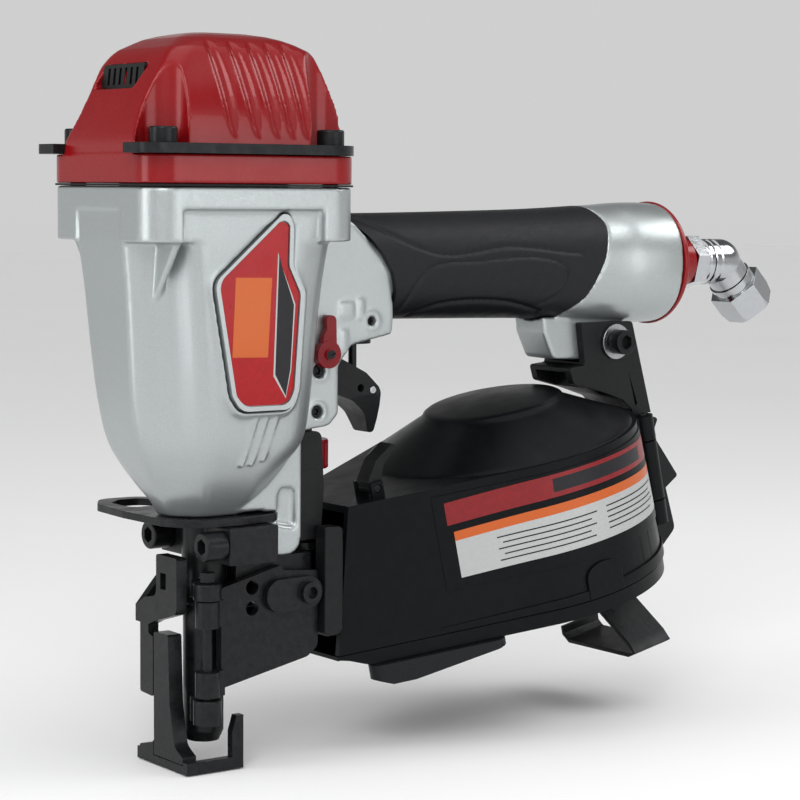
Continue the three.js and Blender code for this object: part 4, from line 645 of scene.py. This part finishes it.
for k in range(5):                                  # plain ruled lines, no lettering
    on_lid(f"label_rule_{k + 1}", DARKP, 57 + (k % 2) * 2, 99 - (k * 3) % 5, (lambda f, k=k: -23.3 - 2.25 * k + 1.6 * math.sin(math.pi * (0.2 + 0.32 * f))), (lambda f, k=k: -22.8 - 2.25 * k + 1.6 * math.sin(math.pi * (0.2 + 0.32 * f))), 0.48, 0.1)
    on_lid(f"label_rule_{k + 6}", DARKP, 104, 144 - (k * 5) % 7, (lambda f, k=k: -22.6 - 2.2 * k + 1.5 * math.sin(math.pi * (0.58 + 0.36 * f))), (lambda f, k=k: -22.1 - 2.2 * k + 1.5 * math.sin(math.pi * (0.58 + 0.36 * f))), 0.48, 0.1)
on_lid("label_band_block", DARKP, 82, 134, lambda f: -11.6 + 2.15 * math.sin(math.pi * (0.39 + 0.47 * f)), lambda f: -6.4 + 2.15 * math.sin(math.pi * (0.39 + 0.47 * f)), 0.48, 0.12)

def from_cad(node):
    o = frame["nodes"][node].copy()
    o.data = o.data.copy()
    bpy.context.scene.collection.objects.link(o)
    o.parent = None
    for k in list(o.keys()):
        del o[k]
    o.data.transform(Matrix.Translation((OX, 0, 0)) @ Matrix.Scale(1000, 4))
    return o
def pad():
    g = from_cad("guard_pad")
    g.data.transform(MAG.inverted())
    bm = bmesh.new()
    bm.from_mesh(g.data)
    bmesh.ops.remove_doubles(bm, verts=bm.verts, dist=0.01)
    bmesh.ops.recalc_face_normals(bm, faces=bm.faces)
    bm.to_mesh(g.data)
    bm.free()
    slots = []
    for k in range(6):                            # upright slots round the outer side of the pad
        u, y = -84 + 9.4 * k, -25.2 - 4.7 * k
        b = box(-0.2, 0.2, -0.4, 0.4, -75, -62.6)
        b.data.transform(Matrix.Translation((u, y, 0)) @ Matrix.Rotation(math.radians(-26.6), 4, "Z"))
        slots.append(b)
    g = cut(g, *slots)
    return inside_magazine(g)
piece("pad", pad(), RUBBER, "guard_pad", bevel=0.5, seg=2, angle=35, smooth=42)
REST = {"sleeve_seal": ("seal_ring", SEAL, 0.5), "piston": ("piston_disc", ALLOY, 0.3), "piston_ring": ("piston_seal", SEAL, 0.2),
        "driver_blade": ("blade", BRIGHT, 0.2), "head_valve": ("valve_disc", BLACKP, 0.4), "head_valve_spring": ("valve_spring", BRIGHT, 0), "lever_pin": ("lever_axle", BRIGHT, 0.3), "contact_lever": ("lever_plate", STEEL, 0.3),
        "trigger_valve_body": ("valve_housing", BLACKP, 0.2), "trigger_valve_stem": ("valve_rod", STEEL, 0.2), "contact_spring": ("arm_spring", BRIGHT, 0), "feed_piston": ("feed_rod", BRIGHT, 0.2), "platform_post": ("coil_post", STEEL, 0.3),
        "coil_platform": ("coil_tray", BLACKG, 0.4), "cover_hinge_pin": ("lid_pin", STEEL, 0.3), "cover_latch": ("lid_latch", BLACKP, 0.45), "rear_foot": ("foot_strip", STEEL, 0.4),
        "magazine_bracket": ("bracket_arm", BLACKP, 0.7), "bracket_washer": ("bracket_ring", BRIGHT, 0.2), "bracket_bolt": ("bracket_screw", STEEL, 0.3)}
for node, (name, mat, bev) in REST.items():
    piece(name, from_cad(node), mat, node, bevel=bev, seg=2, angle=35, smooth=42)
piece("sleeve", cut(turn([(0, 108.5), (19.8, 108.5), (25, 116.4), (25, 206), (0, 206)]), turn([(0, 107), (17.4, 107), (17.4, 108.7), (22.5, 116.8), (22.5, 207), (0, 207)])), ALLOY, "cylinder_sleeve", bevel=0.3, seg=2, angle=35, smooth=42)
piece("bumper_block", cut(turn([(0, 101.5), (14.8, 101.5), (14.8, 104), (16.8, 108.6), (17.1, 112), (18.6, 121), (0, 121)]), rz(5, 0, 0, 95, 125), turn([(0, 117), (5, 117), (8.4, 121.6), (0, 121.6)])), RUBBER, "bumper", bevel=0.6, seg=2, angle=35, smooth=42)
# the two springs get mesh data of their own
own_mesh(made["arm_spring"])
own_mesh(made["valve_spring"])

# ------------------------------------------------------------------ floor, light and camera
def plane(name, verts, col, rough):
    me = bpy.data.meshes.new(name)
    me.from_pydata(verts, [], [(0, 1, 2, 3)])
    o = bpy.data.objects.new(name, me)
    bpy.context.scene.collection.objects.link(o)
    m = material(name + "_mat", col, rough, 0, 0, tuple(c * 0.97 for c in col), 3, 0.5, 0.0, 100, 0.02)
    me.materials.append(m)
    return o
plane("floor", [(-6, -6, -0.0005), (6, -6, -0.0005), (6, 6, -0.0005), (-6, 6, -0.0005)], (0.86, 0.86, 0.86), 0.6)
world = bpy.data.worlds.new("studio")
bpy.context.scene.world = world
world.use_nodes = True
wt = world.node_tree
wc, wx, wr = wt.nodes.new("ShaderNodeTexCoord"), wt.nodes.new("ShaderNodeSeparateXYZ"), wt.nodes.new("ShaderNodeMapRange")
ramp = wt.nodes.new("ShaderNodeValToRGB")
wr.inputs["From Min"].default_value, wr.inputs["From Max"].default_value = -1, 1
wt.links.new(wc.outputs["Generated"], wx.inputs["Vector"])
wt.links.new(wx.outputs["Z"], wr.inputs["Value"])
wt.links.new(wr.outputs["Result"], ramp.inputs["Fac"])
wt.links.new(ramp.outputs["Color"], wt.nodes["Background"].inputs["Color"])
for k, (at, g) in enumerate(((0.0, 0.35), (0.5, 0.735), (0.58, 0.74), (0.70, 0.20), (0.88, 0.14), (0.95, 0.60), (1.0, 0.85))):   # soft room: bright at the horizon and overhead
    e = ramp.color_ramp.elements[k] if k < 1 else (ramp.color_ramp.elements.new(at) if k < 6 else ramp.color_ramp.elements[-1])
    e.position, e.color = at, (g, g, g, 1)
wt.nodes["Background"].inputs["Strength"].default_value = 0.85
def area(name, loc, aim, w, h, power):
    l = bpy.data.lights.new(name, "AREA")
    l.shape, l.size, l.size_y, l.energy = "RECTANGLE", w, h, power
    o = bpy.data.objects.new(name, l)
    bpy.context.scene.collection.objects.link(o)
    o.location = loc
    o.rotation_mode = "QUATERNION"
    o.rotation_quaternion = (Vector(aim) - Vector(loc)).to_track_quat("-Z", "Y")
sun = bpy.data.lights.new("soft_sky", "SUN")
sun.energy, sun.angle = 1.6, 2.0
so = bpy.data.objects.new("soft_sky", sun)
bpy.context.scene.collection.objects.link(so)
so.rotation_mode = "QUATERNION"
so.rotation_quaternion = Vector((0.35, 0.45, -1.0)).to_track_quat("-Z", "Y")
area("key", (-0.75, -0.75, 0.85), (0, 0, 0.14), 0.5, 0.7, 6)
area("left", (-0.95, 0.15, 0.35), (0, 0, 0.14), 0.35, 0.9, 3)
area("rim", (0.7, -0.35, 0.75), (0.05, 0, 0.14), 0.6, 0.35, 3)
area("front_low", (0.25, -1.1, 0.25), (0.05, 0, 0.1), 0.8, 0.35, 2)

PHI, ROLL = math.radians(36.0), math.radians(0.43)
P = math.atan((400 - 187.0) / 2400.0)
F = 2400.0 * math.cos(P)
r = Vector((math.cos(PHI), -math.sin(PHI), 0)); v = Vector((math.sin(PHI), math.cos(PHI), 0))
C = -(r * -72.2 + v * 876.0); C.z = 213.0
fwd = v * math.cos(P) + Vector((0, 0, -math.sin(P)))
up0 = r.cross(fwd)
right = r * math.cos(ROLL) + up0 * math.sin(ROLL)
up = up0 * math.cos(ROLL) - r * math.sin(ROLL)
cd = bpy.data.cameras.new("camera")
cam = bpy.data.objects.new("camera", cd)
bpy.context.scene.collection.objects.link(cam)
M3 = Matrix((right, up, -fwd)).transposed()
cam.matrix_world = Matrix.Translation(Vector(((C.x - OX) / 1000, C.y / 1000, C.z / 1000))) @ M3.to_4x4()
cd.sensor_width, cd.lens = 36.0, 36.0 * F / 800
cd.clip_start, cd.clip_end = 0.05, 50
bpy.context.scene.camera = cam
bpy.context.scene.view_settings.view_transform = "Standard"
